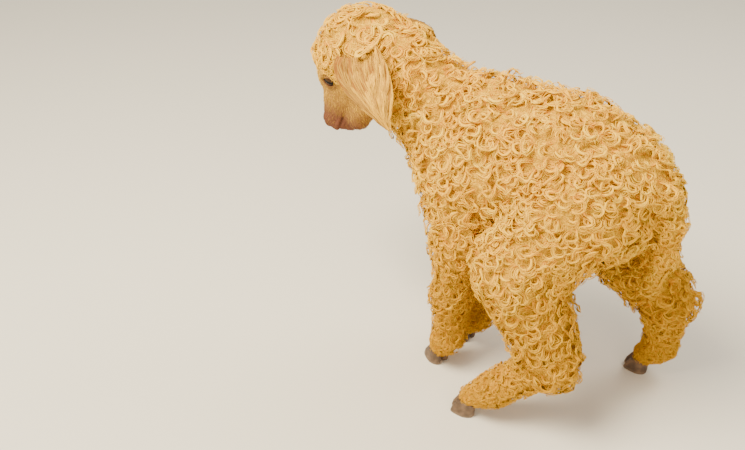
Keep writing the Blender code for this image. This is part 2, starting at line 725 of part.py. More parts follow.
# Seats for the separate parts, and the flat that keeps wool off the floor
for side_name in ("left", "right"):
    combined(parts["head"], seats["ear_" + side_name], "DIFFERENCE")
    combined(parts["neck"], seats["ear_" + side_name], "DIFFERENCE")
    combined(parts["head"], seats["eye_" + side_name], "DIFFERENCE")
combined(parts["torso"], seats["tail"], "DIFFERENCE")
for leg_name, names in CLAWS.items():
    pair, side_name = leg_name.split("_")
    lower = parts[pair + "leg_" + side_name + "_lower"]
    floor = block("floor", (lower.data.vertices[0].co.x, 0.0, WOOL_FLOOR - 0.5), (2.0, 2.0, 1.0))
    combined(lower, floor, "DIFFERENCE")
    removed(floor)
    for name in names:
        combined(lower, seats[name], "DIFFERENCE")
for seat in seats.values():
    removed(seat)

# Materials, then everything moved so that the middle of its box is over the origin
COAT = material("coat", (0.86, 0.76, 0.58), 0.95)
EAR_SKIN = material("ear_skin", (0.83, 0.60, 0.46), 0.80)
EYE_GLASS = material("eye", (0.02, 0.015, 0.012), 0.15)
HORN = material("claw", (0.20, 0.15, 0.11), 0.55)
for name, obj in parts.items():
    largest_only(obj)
    obj.name = name
    obj.data.name = name
    obj.data.materials.clear()
    chosen = COAT
    if name.startswith("ear_"):
        chosen = EAR_SKIN
    elif name.startswith("eye_"):
        chosen = EYE_GLASS
    elif name.endswith("_claw"):
        chosen = HORN
    obj.data.materials.append(chosen)
corners = np.array([vert.co for obj in parts.values() for vert in obj.data.vertices])
low, high = corners.min(axis=0), corners.max(axis=0)
shift = Vector((-(low[0] + high[0]) / 2.0, -(low[1] + high[1]) / 2.0, -low[2]))
for obj in parts.values():
    for vert in obj.data.vertices:
        vert.co += shift
    obj.data.update()
print("box", np.round(high - low, 4), "shift", tuple(round(value, 5) for value in shift))
for name, obj in sorted(parts.items()):
    print(name, len(obj.data.polygons))
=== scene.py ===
import math

import bmesh
import bpy
import numpy as np
from mathutils import Matrix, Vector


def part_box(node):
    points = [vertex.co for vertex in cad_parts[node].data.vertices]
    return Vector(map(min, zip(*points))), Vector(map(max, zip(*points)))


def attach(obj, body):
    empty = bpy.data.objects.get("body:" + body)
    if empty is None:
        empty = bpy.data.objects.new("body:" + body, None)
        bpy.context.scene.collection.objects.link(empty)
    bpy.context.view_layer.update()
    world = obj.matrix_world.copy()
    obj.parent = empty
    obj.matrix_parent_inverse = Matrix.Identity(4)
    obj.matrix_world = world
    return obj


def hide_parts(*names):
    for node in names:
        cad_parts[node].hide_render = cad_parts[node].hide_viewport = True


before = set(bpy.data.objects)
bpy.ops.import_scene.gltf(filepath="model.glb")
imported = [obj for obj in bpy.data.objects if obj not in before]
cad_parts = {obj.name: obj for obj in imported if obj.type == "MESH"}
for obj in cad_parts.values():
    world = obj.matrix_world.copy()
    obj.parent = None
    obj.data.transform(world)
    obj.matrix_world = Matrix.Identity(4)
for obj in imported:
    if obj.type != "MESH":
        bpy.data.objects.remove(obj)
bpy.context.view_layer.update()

# Share of the coat's depth at which the woolly skin lies, how widely bones and coats blend, the
# step that slopes are taken over, the least slope that a move divides by, and the skin's mesh
SKIN_SHARE = 0.42
BODY_BLEND = 0.014
HEAD_BLEND = 0.006
COAT_BLEND = 0.004
SLOPE_STEP = 0.0004
LEAST_SLOPE = 0.05
SKIN_VOXEL = 0.0032

# Depth of the coat by place
TRUNK_COAT = 0.026
LEG_COAT = 0.022
FOREARM_COAT = 0.015
SHANK_COAT = 0.013
FOOT_COAT = 0.006
POLL_COAT = 0.016
TAIL_COAT = 0.012
FACE_COAT = 0.0

# The head hangs from the skull and is turned to the kid's left, degrees
HEAD_PITCH = 73.0
HEAD_TURN = 16.0
SKULL = np.array([0.0, -0.256, 0.388])
HEAD_LENGTH = 0.104

# Eyes, lids, mouth and nostrils: down the face, out of the forehead, to the side
EYE_PLACE = (0.046, 0.0190, 0.0290)
EYE_RADIUS = 0.0105
EYE_STANDS_OUT = 0.0022
LID_HALF_LENGTH = 0.0078
LID_HALF_HEIGHT = 0.0058
LID_MARGIN = 0.0125
MOUTH_PLACE = (0.012, -0.0090, 0.024)
MOUTH_BACK = 0.026
NOSTRIL_PLACE = (0.012, 0.010, 0.0085)
NOSTRIL_SLANT = (-0.25, 0.55, 0.62)
NOSTRIL_HALF_LENGTH = 0.0056
NOSTRIL_HALF_WIDTH = 0.0024
NOSTRIL_BEND = 18.0
NOSTRIL_REACH = 0.016

# Relief of the face: how deep sockets, nostrils, lips and cleft go, and how far their rims rise
SOCKET_DEPTH = 0.0042
SOCKET_REACH = 0.0125
NOSTRIL_DEPTH = 0.0042
NOSTRIL_WING = 0.0011
LIP_RISE = 0.0010
LIP_DEPTH = 0.0018
CLEFT_DEPTH = 0.0009

# Ears: root, two points of the bent line, tip, and the way the ear is wide at root and at tip
EAR_HALF_WIDTH = 0.0353
EAR_THICK = 0.0028
EARS = {
    "left": ((0.0243, -0.2349, 0.4000), (0.0615, -0.2125, 0.3920), (0.0895, -0.1831, 0.3677),
             (0.0804, -0.1628, 0.3379), (-0.19, -0.90, -0.40), (0.60, -0.80, 0.10)),
    "right": ((-0.0318, -0.2510, 0.4060), (-0.0752, -0.2517, 0.4075), (-0.1145, -0.2416, 0.3912),
              (-0.1176, -0.2196, 0.3550), (0.64, -0.66, -0.40), (-0.08, -1.00, 0.10)),
}

# Claws of the hooves, how far the two of a foot turn apart in radians, and the heights under
# which no skin and no strand goes
CLAW_LENGTH = 0.018
CLAW_HALF_WIDTH = 0.0076
CLAW_HEIGHT = 0.021
CLAW_SPLAY = 0.05
CLAW_RINGS = 26
CLAW_SIDES = 40
WOOL_FLOOR = 0.007
STRAND_FLOOR = 0.004

# Joints of the limbs: x left, y back, z up
FORE_LEFT = ((0.042, -0.082, 0.270), (0.054, -0.066, 0.203), (0.052, -0.074, 0.118),
             (0.053, -0.072, 0.049), (0.050, -0.084, 0.026))
FORE_RIGHT = ((-0.042, -0.082, 0.270), (-0.053, -0.062, 0.196), (-0.036, -0.055, 0.106),
              (-0.011, -0.064, 0.049), (-0.013, -0.077, 0.026))
HIND_LEFT = ((0.044, 0.062, 0.292), (0.074, 0.020, 0.210), (0.078, 0.080, 0.106),
             (0.101, 0.020, 0.044), (0.110, -0.004, 0.026))
HIND_RIGHT = ((-0.047, 0.066, 0.287), (-0.074, 0.076, 0.207), (-0.083, 0.158, 0.133),
              (-0.101, 0.160, 0.048), (-0.097, 0.144, 0.026))
LEGS = {"fore_left": FORE_LEFT, "fore_right": FORE_RIGHT,
        "hind_left": HIND_LEFT, "hind_right": HIND_RIGHT}

# Radii at the two ends of each bone of a limb, the coat on each, and how flat the first one is
FORE_RADII = ((0.038, 0.026), (0.024, 0.016), (0.015, 0.012), (0.012, 0.011))
HIND_RADII = ((0.056, 0.037), (0.038, 0.021), (0.0175, 0.0130), (0.0130, 0.011))
FORE_COATS = (LEG_COAT, FOREARM_COAT, SHANK_COAT, FOOT_COAT)
HIND_COATS = (LEG_COAT, LEG_COAT, SHANK_COAT, FOOT_COAT)
LIMB_FLATNESS = 0.72

# Strands: points along a curled one, a stray one and a straight one, and sides round each
CURL_POINTS = 9
STRAY_POINTS = 7
HAIR_POINTS = 5
SIDES = 3
STRANDS_IN_LOCK = 4
EAR_HAIRS_IN_BUNDLE = 8

# Coat: space between locks by their radius, least depth of coat that grows them, relief of tufts
# by the coat's depth, wool kept off ears and eyes, the width of a strand's patch on the unwrap,
# and the most triangles in a piece
LOCK_SPACING = 1.50
LEAST_WOOL = 0.0025
TUFT_RELIEF = 0.09
EAR_CLEAR = 0.0150
EYE_CLEAR = 0.020
BAKE_PATCH = 0.003
MOST_TRIANGLES = 195000

# Places are tried at random, as many as this, and thinned in cells that widen by this step
TRIED_PLACES = 60000
CELL_STEP = 1.125

# Radius of the curls by depth of the coat, and how much wider they are on the poll
CURL_COATS = (0.0, FOOT_COAT, SHANK_COAT, FOREARM_COAT, LEG_COAT, TRUNK_COAT)
CURL_RADII = (0.0020, 0.0030, 0.0050, 0.0056, 0.0069, 0.0077)
POLL_WIDER = 0.0030

# Locks: least and most of their size, turning and swing, share of waves, and half widths of the
# broad band and of the finer strands as shares of the radius
LOCK_SIZES = (0.65, 1.20)
LOCK_TURNS = (0.8 * np.pi, 1.9 * np.pi)
LOCK_SWINGS = (1.0, 1.7)
WAVE_SHARE = 0.40
BAND_WIDTH = 0.27
FINE_WIDTH = 0.060
EAR_ROOT_LOCKS = 20

# Other hair: half widths, share of locks with a stray one beside them, bundles on an ear and how
# far they lift, and the lashes of one eye
STRAY_WIDTH = 0.00024
STRAY_SHARE = 0.34
EAR_BUNDLES = 270
EAR_HAIR_WIDTH = 0.00052
EAR_HAIR_LIFT = 0.0030
FACE_HAIR_WIDTH = 0.00036
LASHES = 46
LASH_LENGTH = 0.0058
LASH_WIDTH = 0.00016

# Heights between which the wool grows darker down the legs: partly staining, partly painted shade of
# the lower body
LOW_LEGS = (0.32, 0.06)

# Seeds of the random draws; the lashes of the left eye take the first, the right eye the next
FLEECE_SEED = 11
FACE_SEED = 23
EAR_SEEDS = {"left": 31, "right": 32}
LASH_SEED = 41

# Share of an ear's outer face near the root that shows bare; the same number browns the hair of that
# face as painted shade
EAR_BARE_AND_SHADED = {"left": 0.0, "right": 0.6}

# A way that no bone runs, from which angles round bones are counted
SLANTED = np.array([0.31, 0.87, 0.39])

# Ends closer than this are welded, and edges shorter than that taken out
WELDED = 0.00001
PINCHED = 0.000002

# Camera of the picture: where it stands round the kid, its focal length in pixels of a picture
# of that width and height, and the point at which it looks with where that point is seen
CAMERA_AZIMUTH = 124.0
CAMERA_ELEVATION = 33.0
CAMERA_ROLL = 1.7
CAMERA_DISTANCE = 1.03
CAMERA_FOCUS = 870.0
PICTURE = (745.0, 450.0)
AIM = np.array([0.0, 0.0, 0.26])
AIM_SEEN_AT = (536.4, 199.5)
SENSOR_WIDTH = 36.0


def unit(vectors):
    """Vectors scaled to length one."""
    return vectors / np.maximum(np.linalg.norm(vectors, axis=-1, keepdims=True), 1e-12)


def smooth(share):
    """Smoothstep: three times the square less twice the cube, held between zero and one."""
    share = np.clip(share, 0.0, 1.0)
    return share * share * (3.0 - 2.0 * share)


def bump_of(distance, reach):
    """A smooth hump: one at distance zero, falling to zero at the reach."""
    return smooth(1.0 - np.abs(distance) / reach)


def head_axes():
    """Directions of the head: down the face, out of the forehead, and to its left."""
    pitch = math.radians(HEAD_PITCH)
    turn = math.radians(HEAD_TURN)
    ahead = np.array([math.sin(turn), -math.cos(turn), 0.0])
    down = np.array([0.0, 0.0, -1.0])
    along = ahead * math.cos(pitch) + down * math.sin(pitch)
    front = ahead * math.sin(pitch) - down * math.cos(pitch)
    side = np.array([math.cos(turn), math.sin(turn), 0.0])
    return along, front, side


ALONG, FRONT, SIDE = head_axes()


def on_head(along, front, side=0.0):
    """A point given from the centre of the skull in the directions of the head."""
    return SKULL + along * ALONG + front * FRONT + side * SIDE


def in_head(points):
    """The three distances of points down the face, out of the forehead and to the side."""
    offset = points - SKULL
    return offset @ ALONG, offset @ FRONT, offset @ SIDE


def bone(start, end, start_radius, end_radius, coat, width=1.0):
    """A rounded cone from start to end; width scales it across the body."""
    return (np.array(start), np.array(end), start_radius, end_radius, coat, width)


def limb_bones(joints, radii, coats):
    """Bones of one leg between its joints, the first one flattened against the trunk."""
    flats = (LIMB_FLATNESS, 1.0, 1.0, 1.0)
    rows = zip(joints, joints[1:], radii, coats, flats)
    return [bone(start, end, *radius, coat, flat) for start, end, radius, coat, flat in rows]


def tail_bones():
    """The tail, down an arc behind the rump."""
    spots = ((0.0, 0.122, 0.326), (0.0, 0.144, 0.314), (0.0, 0.155, 0.286),
             (0.0, 0.157, 0.246), (0.0, 0.151, 0.200))
    radii = (0.012, 0.010, 0.008, 0.006, 0.004)
    rows = zip(spots, spots[1:], radii, radii[1:])
    return [bone(start, end, first, last, TAIL_COAT) for start, end, first, last in rows]


# Bones of rump, belly, chest, brisket, withers, neck and nape, then the legs and the tail
BODY_BONES = [
    bone((0, 0.080, 0.303), (0, 0.025, 0.315), 0.056, 0.062, TRUNK_COAT, 1.05),
    bone((0, 0.025, 0.315), (0, -0.035, 0.302), 0.062, 0.072, TRUNK_COAT, 0.92),
    bone((0, -0.035, 0.302), (0, -0.078, 0.294), 0.072, 0.067, TRUNK_COAT, 0.84),
    bone((0, -0.074, 0.294), (0, -0.088, 0.270), 0.060, 0.045, TRUNK_COAT, 0.82),
    bone((0, -0.070, 0.343), (0, -0.020, 0.321), 0.037, 0.042, TRUNK_COAT),
    bone((0, -0.098, 0.314), (0, -0.197, 0.370), 0.053, 0.037, TRUNK_COAT, 0.86),
    bone((0, -0.197, 0.370), on_head(-0.004, -0.012), 0.039, 0.040, POLL_COAT, 0.92),
]
for leg_joints in (FORE_LEFT, FORE_RIGHT):
    BODY_BONES += limb_bones(leg_joints, FORE_RADII, FORE_COATS)
for leg_joints in (HIND_LEFT, HIND_RIGHT):
    BODY_BONES += limb_bones(leg_joints, HIND_RADII, HIND_COATS)
BODY_BONES += tail_bones()

# Bones of skull, forelock, face, bridge of the nose, brow and jaw, and on each side those of
# cheek, eye socket, side of the nose, nostril, corner of the jaw and chin
HEAD_BONES = [
    bone(on_head(0.0, 0.0), on_head(0.012, 0.006), 0.040, 0.036, POLL_COAT),
    bone(on_head(-0.004, 0.027), on_head(0.025, 0.034), 0.018, 0.0150, POLL_COAT),
    bone(on_head(0.010, 0.002), on_head(HEAD_LENGTH - 0.006, 0.001), 0.0365, 0.0180, FACE_COAT),
    bone(on_head(0.036, 0.012), on_head(HEAD_LENGTH, 0.0050), 0.0305, 0.0140, FACE_COAT),
    bone(on_head(0.030, 0.025), on_head(0.050, 0.023), 0.0260, 0.0215, FACE_COAT),
    bone(on_head(0.034, -0.026), on_head(HEAD_LENGTH - 0.012, -0.019), 0.027, 0.0155, FACE_COAT),
]
for hand in (1, -1):
    HEAD_BONES += [
        bone(on_head(0.028, -0.008, 0.024 * hand), on_head(0.062, -0.008, 0.012 * hand),
             0.0180, 0.0140, FACE_COAT),
        bone(on_head(0.030, 0.026, 0.020 * hand), on_head(0.042, 0.026, 0.023 * hand),
             0.0125, 0.0105, FACE_COAT),
        bone(on_head(0.044, 0.010, 0.016 * hand), on_head(0.074, 0.006, 0.009 * hand),
             0.0165, 0.0120, FACE_COAT),
        bone(on_head(HEAD_LENGTH + 0.004, 0.004, 0.0060 * hand),
             on_head(HEAD_LENGTH + 0.006, -0.003, 0.0080 * hand), 0.0115, 0.0095, FACE_COAT),
        bone(on_head(0.050, -0.026, 0.012 * hand), on_head(0.089, -0.028, 0.010 * hand),
             0.0190, 0.0150, FACE_COAT),
        bone(on_head(HEAD_LENGTH - 0.006, -0.018), on_head(HEAD_LENGTH + 0.001, -0.017),
             0.0115, 0.0105, FACE_COAT),
    ]
ALL_BONES = BODY_BONES + HEAD_BONES


def bone_reach(points, row):
    """Distance to a rounded cone, less its radius and a share of the coat, and the place on it."""
    start, end, start_radius, end_radius, coat, width = row
    middle = np.array([0.5 * (start[0] + end[0]), 0.0, 0.0])
    scale = np.array([1.0 / width, 1.0, 1.0])
    first = (start - middle) * scale
    axis = (end - middle) * scale - first
    offset = (points - middle) * scale - first
    place = np.clip(offset @ axis / max(axis @ axis, 1e-12), 0.0, 1.0)
    radius = start_radius + (end_radius - start_radius) * place + coat * SKIN_SHARE
    return np.linalg.norm(offset - place[:, None] * axis, axis=1) - radius, place


def blended(first, second, reach):
    """Smooth minimum of two distances, rounded over the given reach."""
    share = np.clip(0.5 + 0.5 * (second - first) / reach, 0.0, 1.0)
    return second + (first - second) * share - reach * share * (1.0 - share)


def field(points):
    """Signed distance to the skin, near enough: bones blended one after the other."""
    body = bone_reach(points, BODY_BONES[0])[0]
    for row in BODY_BONES[1:]:
        body = blended(body, bone_reach(points, row)[0], BODY_BLEND)
    head = bone_reach(points, HEAD_BONES[0])[0]
    for row in HEAD_BONES[1:]:
        head = blended(head, bone_reach(points, row)[0], HEAD_BLEND)
    return blended(body, head, BODY_BLEND)


def slope(points):
    """Gradient of the field by central differences."""
    parts = [(field(points + axis) - field(points - axis)) / (2.0 * SLOPE_STEP)
             for axis in np.eye(3) * SLOPE_STEP]
    return np.stack(parts, axis=1)


def settled(points, rounds=3):
    """Points moved along the slope of the field until they lie on the skin."""
    for _ in range(rounds):
        gradient = slope(points)
        steepness = np.maximum((gradient ** 2).sum(axis=1), LEAST_SLOPE)
        points = points - (field(points) / steepness)[:, None] * gradient
    return points


def coat_at(points):
    """Depth of the coat: mean over the bones, each weighted by how near its surface is."""
    reach = np.stack([bone_reach(points, row)[0] for row in ALL_BONES])
    depth = np.array([row[4] for row in ALL_BONES])
    weight = np.exp(-(reach - reach.min(axis=0)) / COAT_BLEND)
    return (weight * depth[:, None]).sum(axis=0) / weight.sum(axis=0)


def bone_axes(start, end):
    """Directions along bones and twice across them."""
    axis = unit(end - start)
    across = unit(np.cross(axis, SLANTED))
    return axis, across, np.cross(axis, across)


def unwrapped(points):
    """Place on an unwrap of the skin: each bone's own tile, angle round it by share along it."""
    reach, place = zip(*[bone_reach(points, row) for row in ALL_BONES])
    nearest = np.stack(reach).argmin(axis=0)
    along = np.stack(place)[nearest, np.arange(len(points))]
    start = np.array([row[0] for row in ALL_BONES])[nearest]
    end = np.array([row[1] for row in ALL_BONES])[nearest]
    _, across, other = bone_axes(start, end)
    offset = points - start
    angle = np.arctan2((offset * other).sum(axis=1), (offset * across).sum(axis=1))
    columns, margin = 7, 0.04
    tile = np.stack([nearest % columns, nearest // columns], axis=1)
    inside = np.stack([angle / (2.0 * np.pi) + 0.5, along], axis=1)
    return (tile + margin + (1.0 - 2.0 * margin) * inside) / columns


def eye_set(hand):
    """Centre of an eye and the way it looks: square to the face, only its front standing out."""
    along, front, side = EYE_PLACE
    surface = settled(on_head(along, front, side * hand)[None], 4)
    facing = unit(slope(surface)[0])
    return surface[0] - facing * (EYE_RADIUS - EYE_STANDS_OUT), facing


EYES = {"left": eye_set(1), "right": eye_set(-1)}


def eye_frame(facing):
    """Directions along the opening of the lids and up across it."""
    rim_axis = unit(np.cross(facing, ALONG))
    return rim_axis, np.cross(rim_axis, facing)


def claw_rings(place, heading, hand, rows=3, sides=12):
    """Half of a cloven hoof as rings: an oval that narrows upwards and comes to a toe in front."""
    ahead = np.array([math.sin(heading), -math.cos(heading), 0.0])
    left = np.array([math.cos(heading), math.sin(heading), 0.0])
    middle = np.array([place[0], place[1], 0.0])
    middle = middle + ahead * 0.005 + left * hand * (CLAW_HALF_WIDTH * 0.86)
    height = np.linspace(0.0, 1.0, rows)
    length = np.interp(height, (0.0, 0.45, 1.0), (1.0, 0.94, 0.70))
    width = np.interp(height, (0.0, 0.45, 1.0), (1.0, 0.98, 0.86))
    back = np.interp(height, (0.0, 0.45, 1.0), (0.0, 0.0012, 0.0035))
    turn = np.linspace(0.0, 2.0 * np.pi, sides, endpoint=False)[None]
    reach = CLAW_LENGTH * length[:, None] * np.cos(turn)
    reach = np.where(reach < 0.0, reach * 0.72, reach) - back[:, None]
    spread = CLAW_HALF_WIDTH * width[:, None] * np.sin(turn)
    spread = spread * (1.0 - 0.38 * np.maximum(np.cos(turn), 0.0))
    spread = np.where(spread * hand < 0.0, spread * 0.78, spread)
    rise = np.broadcast_to((CLAW_HEIGHT * height)[:, None], reach.shape)
    return (middle + reach[..., None] * ahead + spread[..., None] * left
            + rise[..., None] * np.array([0.0, 0.0, 1.0]))


def claw_heading(joints):
    """Way in which a foot points, from its fetlock to its toe."""
    fetlock, toe = joints[3], joints[4]
    return math.atan2(toe[0] - fetlock[0], fetlock[1] - toe[1])


# The solids lie shifted so that the middle of their box is over the origin: a claw tells how far
sample = claw_rings(FORE_LEFT[4], claw_heading(FORE_LEFT) - CLAW_SPLAY, 1).reshape(-1, 3)
claw_low, claw_high = (np.array(corner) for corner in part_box("fore_left_left_claw"))
SHIFT = 0.5 * (claw_low + claw_high) - 0.5 * (sample.min(axis=0) + sample.max(axis=0))


def add_values(mesh, values):
    """Numbers kept on the vertices of a mesh, under the names that the materials read."""
    for name, numbers in values.items():
        attribute = mesh.attributes.new(name, "FLOAT", "POINT")
        attribute.data.foreach_set("value", numbers.astype(np.float32).ravel())


def grown(name, vertices, faces, material, uv=None, values=None, normals=None):
    """A smooth mesh object at the origin from arrays; uv holds maps and values one number a vertex."""
    mesh = bpy.data.meshes.new(name)
    mesh.vertices.add(len(vertices))
    mesh.vertices.foreach_set("co", (vertices + SHIFT).astype(np.float32).ravel())
    corners = faces.shape[1]
    mesh.loops.add(faces.size)
    mesh.loops.foreach_set("vertex_index", faces.astype(np.int32).ravel())
    mesh.polygons.add(len(faces))
    mesh.polygons.foreach_set("loop_start", np.arange(len(faces), dtype=np.int32) * corners)
    for map_name, places in (uv or {}).items():
        layer = mesh.uv_layers.new(name=map_name)
        layer.data.foreach_set("uv", places[faces.ravel()].astype(np.float32).ravel())
    add_values(mesh, values or {})
    mesh.update(calc_edges=True)
    mesh.validate()
    mesh.shade_smooth()
    if normals is not None:
        attribute = mesh.attributes.new("custom_normal", "FLOAT_VECTOR", "POINT")
        attribute.data.foreach_set("vector", normals.astype(np.float32).ravel())
    obj = bpy.data.objects.new(name, mesh)
    bpy.context.scene.collection.objects.link(obj)
    mesh.materials.append(material)
    return obj


def ring_faces(rows, sides):
    """Quads between the rings of a tube, with rows rings of sides points."""
    ring, side = np.meshgrid(np.arange(rows - 1), np.arange(sides), indexing="ij")
    after = (side + 1) % sides
    quads = np.stack([ring * sides + side, ring * sides + after,
                      (ring + 1) * sides + after, (ring + 1) * sides + side], axis=-1)
    return quads.reshape(-1, 4)


def closed(obj):
    """A ringed piece with its ends welded and filled and its faces turned outwards."""
    bm = bmesh.new()
    bm.from_mesh(obj.data)
    bmesh.ops.remove_doubles(bm, verts=bm.verts, dist=WELDED)
    bmesh.ops.dissolve_degenerate(bm, edges=bm.edges, dist=PINCHED)
    bmesh.ops.holes_fill(bm, edges=bm.edges, sides=0)
    bmesh.ops.recalc_face_normals(bm, faces=bm.faces)
    bm.to_mesh(obj.data)
    bm.free()
    obj.data.shade_smooth()
    return obj


def even(obj, voxel):
    """Make one closed even surface round all that an object holds."""
    remesh = obj.modifiers.new("even", "REMESH")
    remesh.mode = "VOXEL"
    remesh.voxel_size = voxel
    graph = bpy.context.evaluated_depsgraph_get()
    mesh = bpy.data.meshes.new_from_object(obj.evaluated_get(graph))
    old = obj.data
    obj.modifiers.clear()
    obj.data = mesh
    bpy.data.meshes.remove(old)


def vertex_places(mesh):
    """Vertex places of a mesh, in the kid's own frame."""
    places = np.empty(len(mesh.vertices) * 3, dtype=np.float32)
    mesh.vertices.foreach_get("co", places)
    return places.reshape(-1, 3).astype(float) - SHIFT


def nostril(points, hand):
    """How far points are across a nostril's bent oval, one at its rim, and whether they are near."""
    slant = unit(NOSTRIL_SLANT[0] * ALONG + NOSTRIL_SLANT[1] * FRONT
                 + NOSTRIL_SLANT[2] * hand * SIDE)
    opening = settled(on_head(HEAD_LENGTH + NOSTRIL_PLACE[0], NOSTRIL_PLACE[1],
                              NOSTRIL_PLACE[2] * hand)[None], 4)
    depth = unit(slope(opening)[0])
    offset = points - opening[0]
    lengthwise = offset @ slant
    crosswise = offset @ unit(np.cross(slant, depth)) + hand * NOSTRIL_BEND * lengthwise ** 2
    oval = np.sqrt((lengthwise / NOSTRIL_HALF_LENGTH) ** 2 + (crosswise / NOSTRIL_HALF_WIDTH) ** 2)
    return oval, np.linalg.norm(offset, axis=1) < NOSTRIL_REACH


def mouth_line(points):
    """Height of points over the line of the mouth, and how strongly the line shows there."""
    along, front, side = in_head(points)
    share = np.clip(side / MOUTH_PLACE[2], -1.0, 1.0)
    line = HEAD_LENGTH + MOUTH_PLACE[0] - MOUTH_BACK * share ** 2
    corner = HEAD_LENGTH + MOUTH_PLACE[0] - MOUTH_BACK
    fade = np.clip((line - along + 0.030) / 0.030, 0.0, 1.0)
    return front - MOUTH_PLACE[1], fade * np.clip((along - corner + 0.004) / 0.010, 0.0, 1.0)


def face_relief(points):
    """How far the skin of the face stands out: lips and nostril wings up, slits and sockets in."""
    along, front, side = in_head(points)
    relief = np.zeros(len(points))
    for centre, facing in EYES.values():
        offset = points - centre
        depth = offset @ facing
        aside = np.linalg.norm(offset - depth[:, None] * facing, axis=1)
        relief -= np.where(depth > 0.0, SOCKET_DEPTH * bump_of(aside, SOCKET_REACH), 0.0)
    for hand in (1, -1):
        oval, near = nostril(points, hand)
        relief += np.where(near, NOSTRIL_WING * bump_of(oval - 1.75, 1.1), 0.0)
        relief -= np.where(near, NOSTRIL_DEPTH * bump_of(oval, 1.25), 0.0)
    lips, fade = mouth_line(points)
    relief += fade * LIP_RISE * (bump_of(lips - 0.0032, 0.0040) + bump_of(lips + 0.0034, 0.0040))
    relief -= fade * LIP_DEPTH * bump_of(lips, 0.0018)
    muzzle = np.clip((along - HEAD_LENGTH) / 0.010, 0.0, 1.0)
    cleft = (front > MOUTH_PLACE[1]) & (front < 0.010)
    relief -= np.where(cleft, muzzle * CLEFT_DEPTH * bump_of(side, 0.0014), 0.0)
    return relief


def slit_shade_of(points):
    """Painted shade of the skin in the line of the mouth and inside the nostrils: how dark it is
    there.
    """
    lips, fade = mouth_line(points)
    along, _, side = in_head(points)
    near = (along < 0.14) & (np.abs(side) < 0.05)
    shade = np.where(near, 0.8 * fade * bump_of(lips, 0.0016), 0.0)
    for hand in (1, -1):
        oval, near = nostril(points, hand)
        shade = np.maximum(shade, np.where(near, bump_of(oval, 1.15), 0.0))
    return shade


def drift_of(points, scale, seed):
    """A slow smooth wander, mostly between -1 and 1, over the body: a sum of eight sine waves."""
    chance = np.random.default_rng(seed)
    waves = unit(chance.normal(0.0, 1.0, (8, 3))) * scale * chance.uniform(0.6, 1.4, (8, 1))
    phase = chance.uniform(0.0, 2.0 * np.pi, 8)
    return np.sin(points @ waves.T + phase).sum(axis=1) / 4.0


def tuft_relief(points):
    """How far the woolly skin stands out or in: tufts a few centimetres and one centimetre wide."""
    tufts = drift_of(points, 150.0, 5) + drift_of(points, 320.0, 6)
    return TUFT_RELIEF * coat_at(points) * tufts


def refine(obj, chosen):
    """Split each edge in two where the chosen function of the places says so."""
    bm = bmesh.new()
    bm.from_mesh(obj.data)
    keep = chosen(vertex_places(obj.data))
    edges = [edge for edge in bm.edges if keep[edge.verts[0].index] and keep[edge.verts[1].index]]
    bmesh.ops.subdivide_edges(bm, edges=edges, cuts=1, use_grid_fill=True)
    bm.to_mesh(obj.data)
    bm.free()


def set_places(mesh, points):
    """Write vertex places given in the kid's own frame."""
    mesh.vertices.foreach_set("co", (points + SHIFT).astype(np.float32).ravel())
    mesh.update()


def on_face(points):
    """Whether points are on the short-haired face."""
    along, front, side = in_head(points)
    return (along > 0.016) & (along < 0.14) & (np.abs(side) < 0.06) & (front > -0.05) & (front < 0.07)


def on_muzzle(points):
    """Whether points are on the end of the face, where nose and lips are."""
    along, front, side = in_head(points)
    return (along > 0.080) & (along < 0.14) & (np.abs(side) < 0.05) & (np.abs(front) < 0.05)


def body_skin(material):
    """The whole skin: capsules round the bones, evened into one surface, laid on the field and
    moved along its slope by the relief of the face and of the tufts."""
    rows, sides = 9, 20
    turn = np.linspace(0.0, 2.0 * np.pi, sides, endpoint=False)
    tilt = np.linspace(-0.5 * np.pi, 0.5 * np.pi, rows)
    vertices, faces, count = [], [], 0
    for start, end, start_radius, end_radius, coat, width in ALL_BONES:
        axis, across, other = bone_axes(start, end)
        spoke = np.cos(turn)[:, None] * across + np.sin(turn)[:, None] * other
        for low, high, foot, radius in ((0, rows // 2 + 1, start, start_radius),
                                        (rows // 2, rows, end, end_radius)):
            part = tilt[low:high, None, None]
            globe = np.cos(part) * spoke[None] + np.sin(part) * axis
            reach = radius + coat * SKIN_SHARE
            vertices.append((foot + globe * reach * np.array([width, 1.0, 1.0])).reshape(-1, 3))
        faces.append(ring_faces(rows + 1, sides) + count)
        count += (rows + 1) * sides
    obj = grown("skin", np.concatenate(vertices), np.concatenate(faces), material)
    even(obj, SKIN_VOXEL)
    set_places(obj.data, settled(vertex_places(obj.data)))
    refine(obj, on_face)
    refine(obj, on_muzzle)
    points = settled(vertex_places(obj.data), 2)
    points = points + unit(slope(points)) * (face_relief(points) + tuft_relief(points))[:, None]
    points[:, 2] = np.maximum(points[:, 2], WOOL_FLOOR)
    set_places(obj.data, points)
    obj.data.shade_smooth()
    obj.data.materials.clear()
    obj.data.materials.append(material)
    points = vertex_places(obj.data)
    # rim holds the painted shade of the mouth's slit and nostrils
    add_values(obj.data, {"pink": pink_of(points), "rim": slit_shade_of(points),
                          "wool": np.clip(coat_at(points) / FOOT_COAT, 0.0, 1.0)})
    return obj


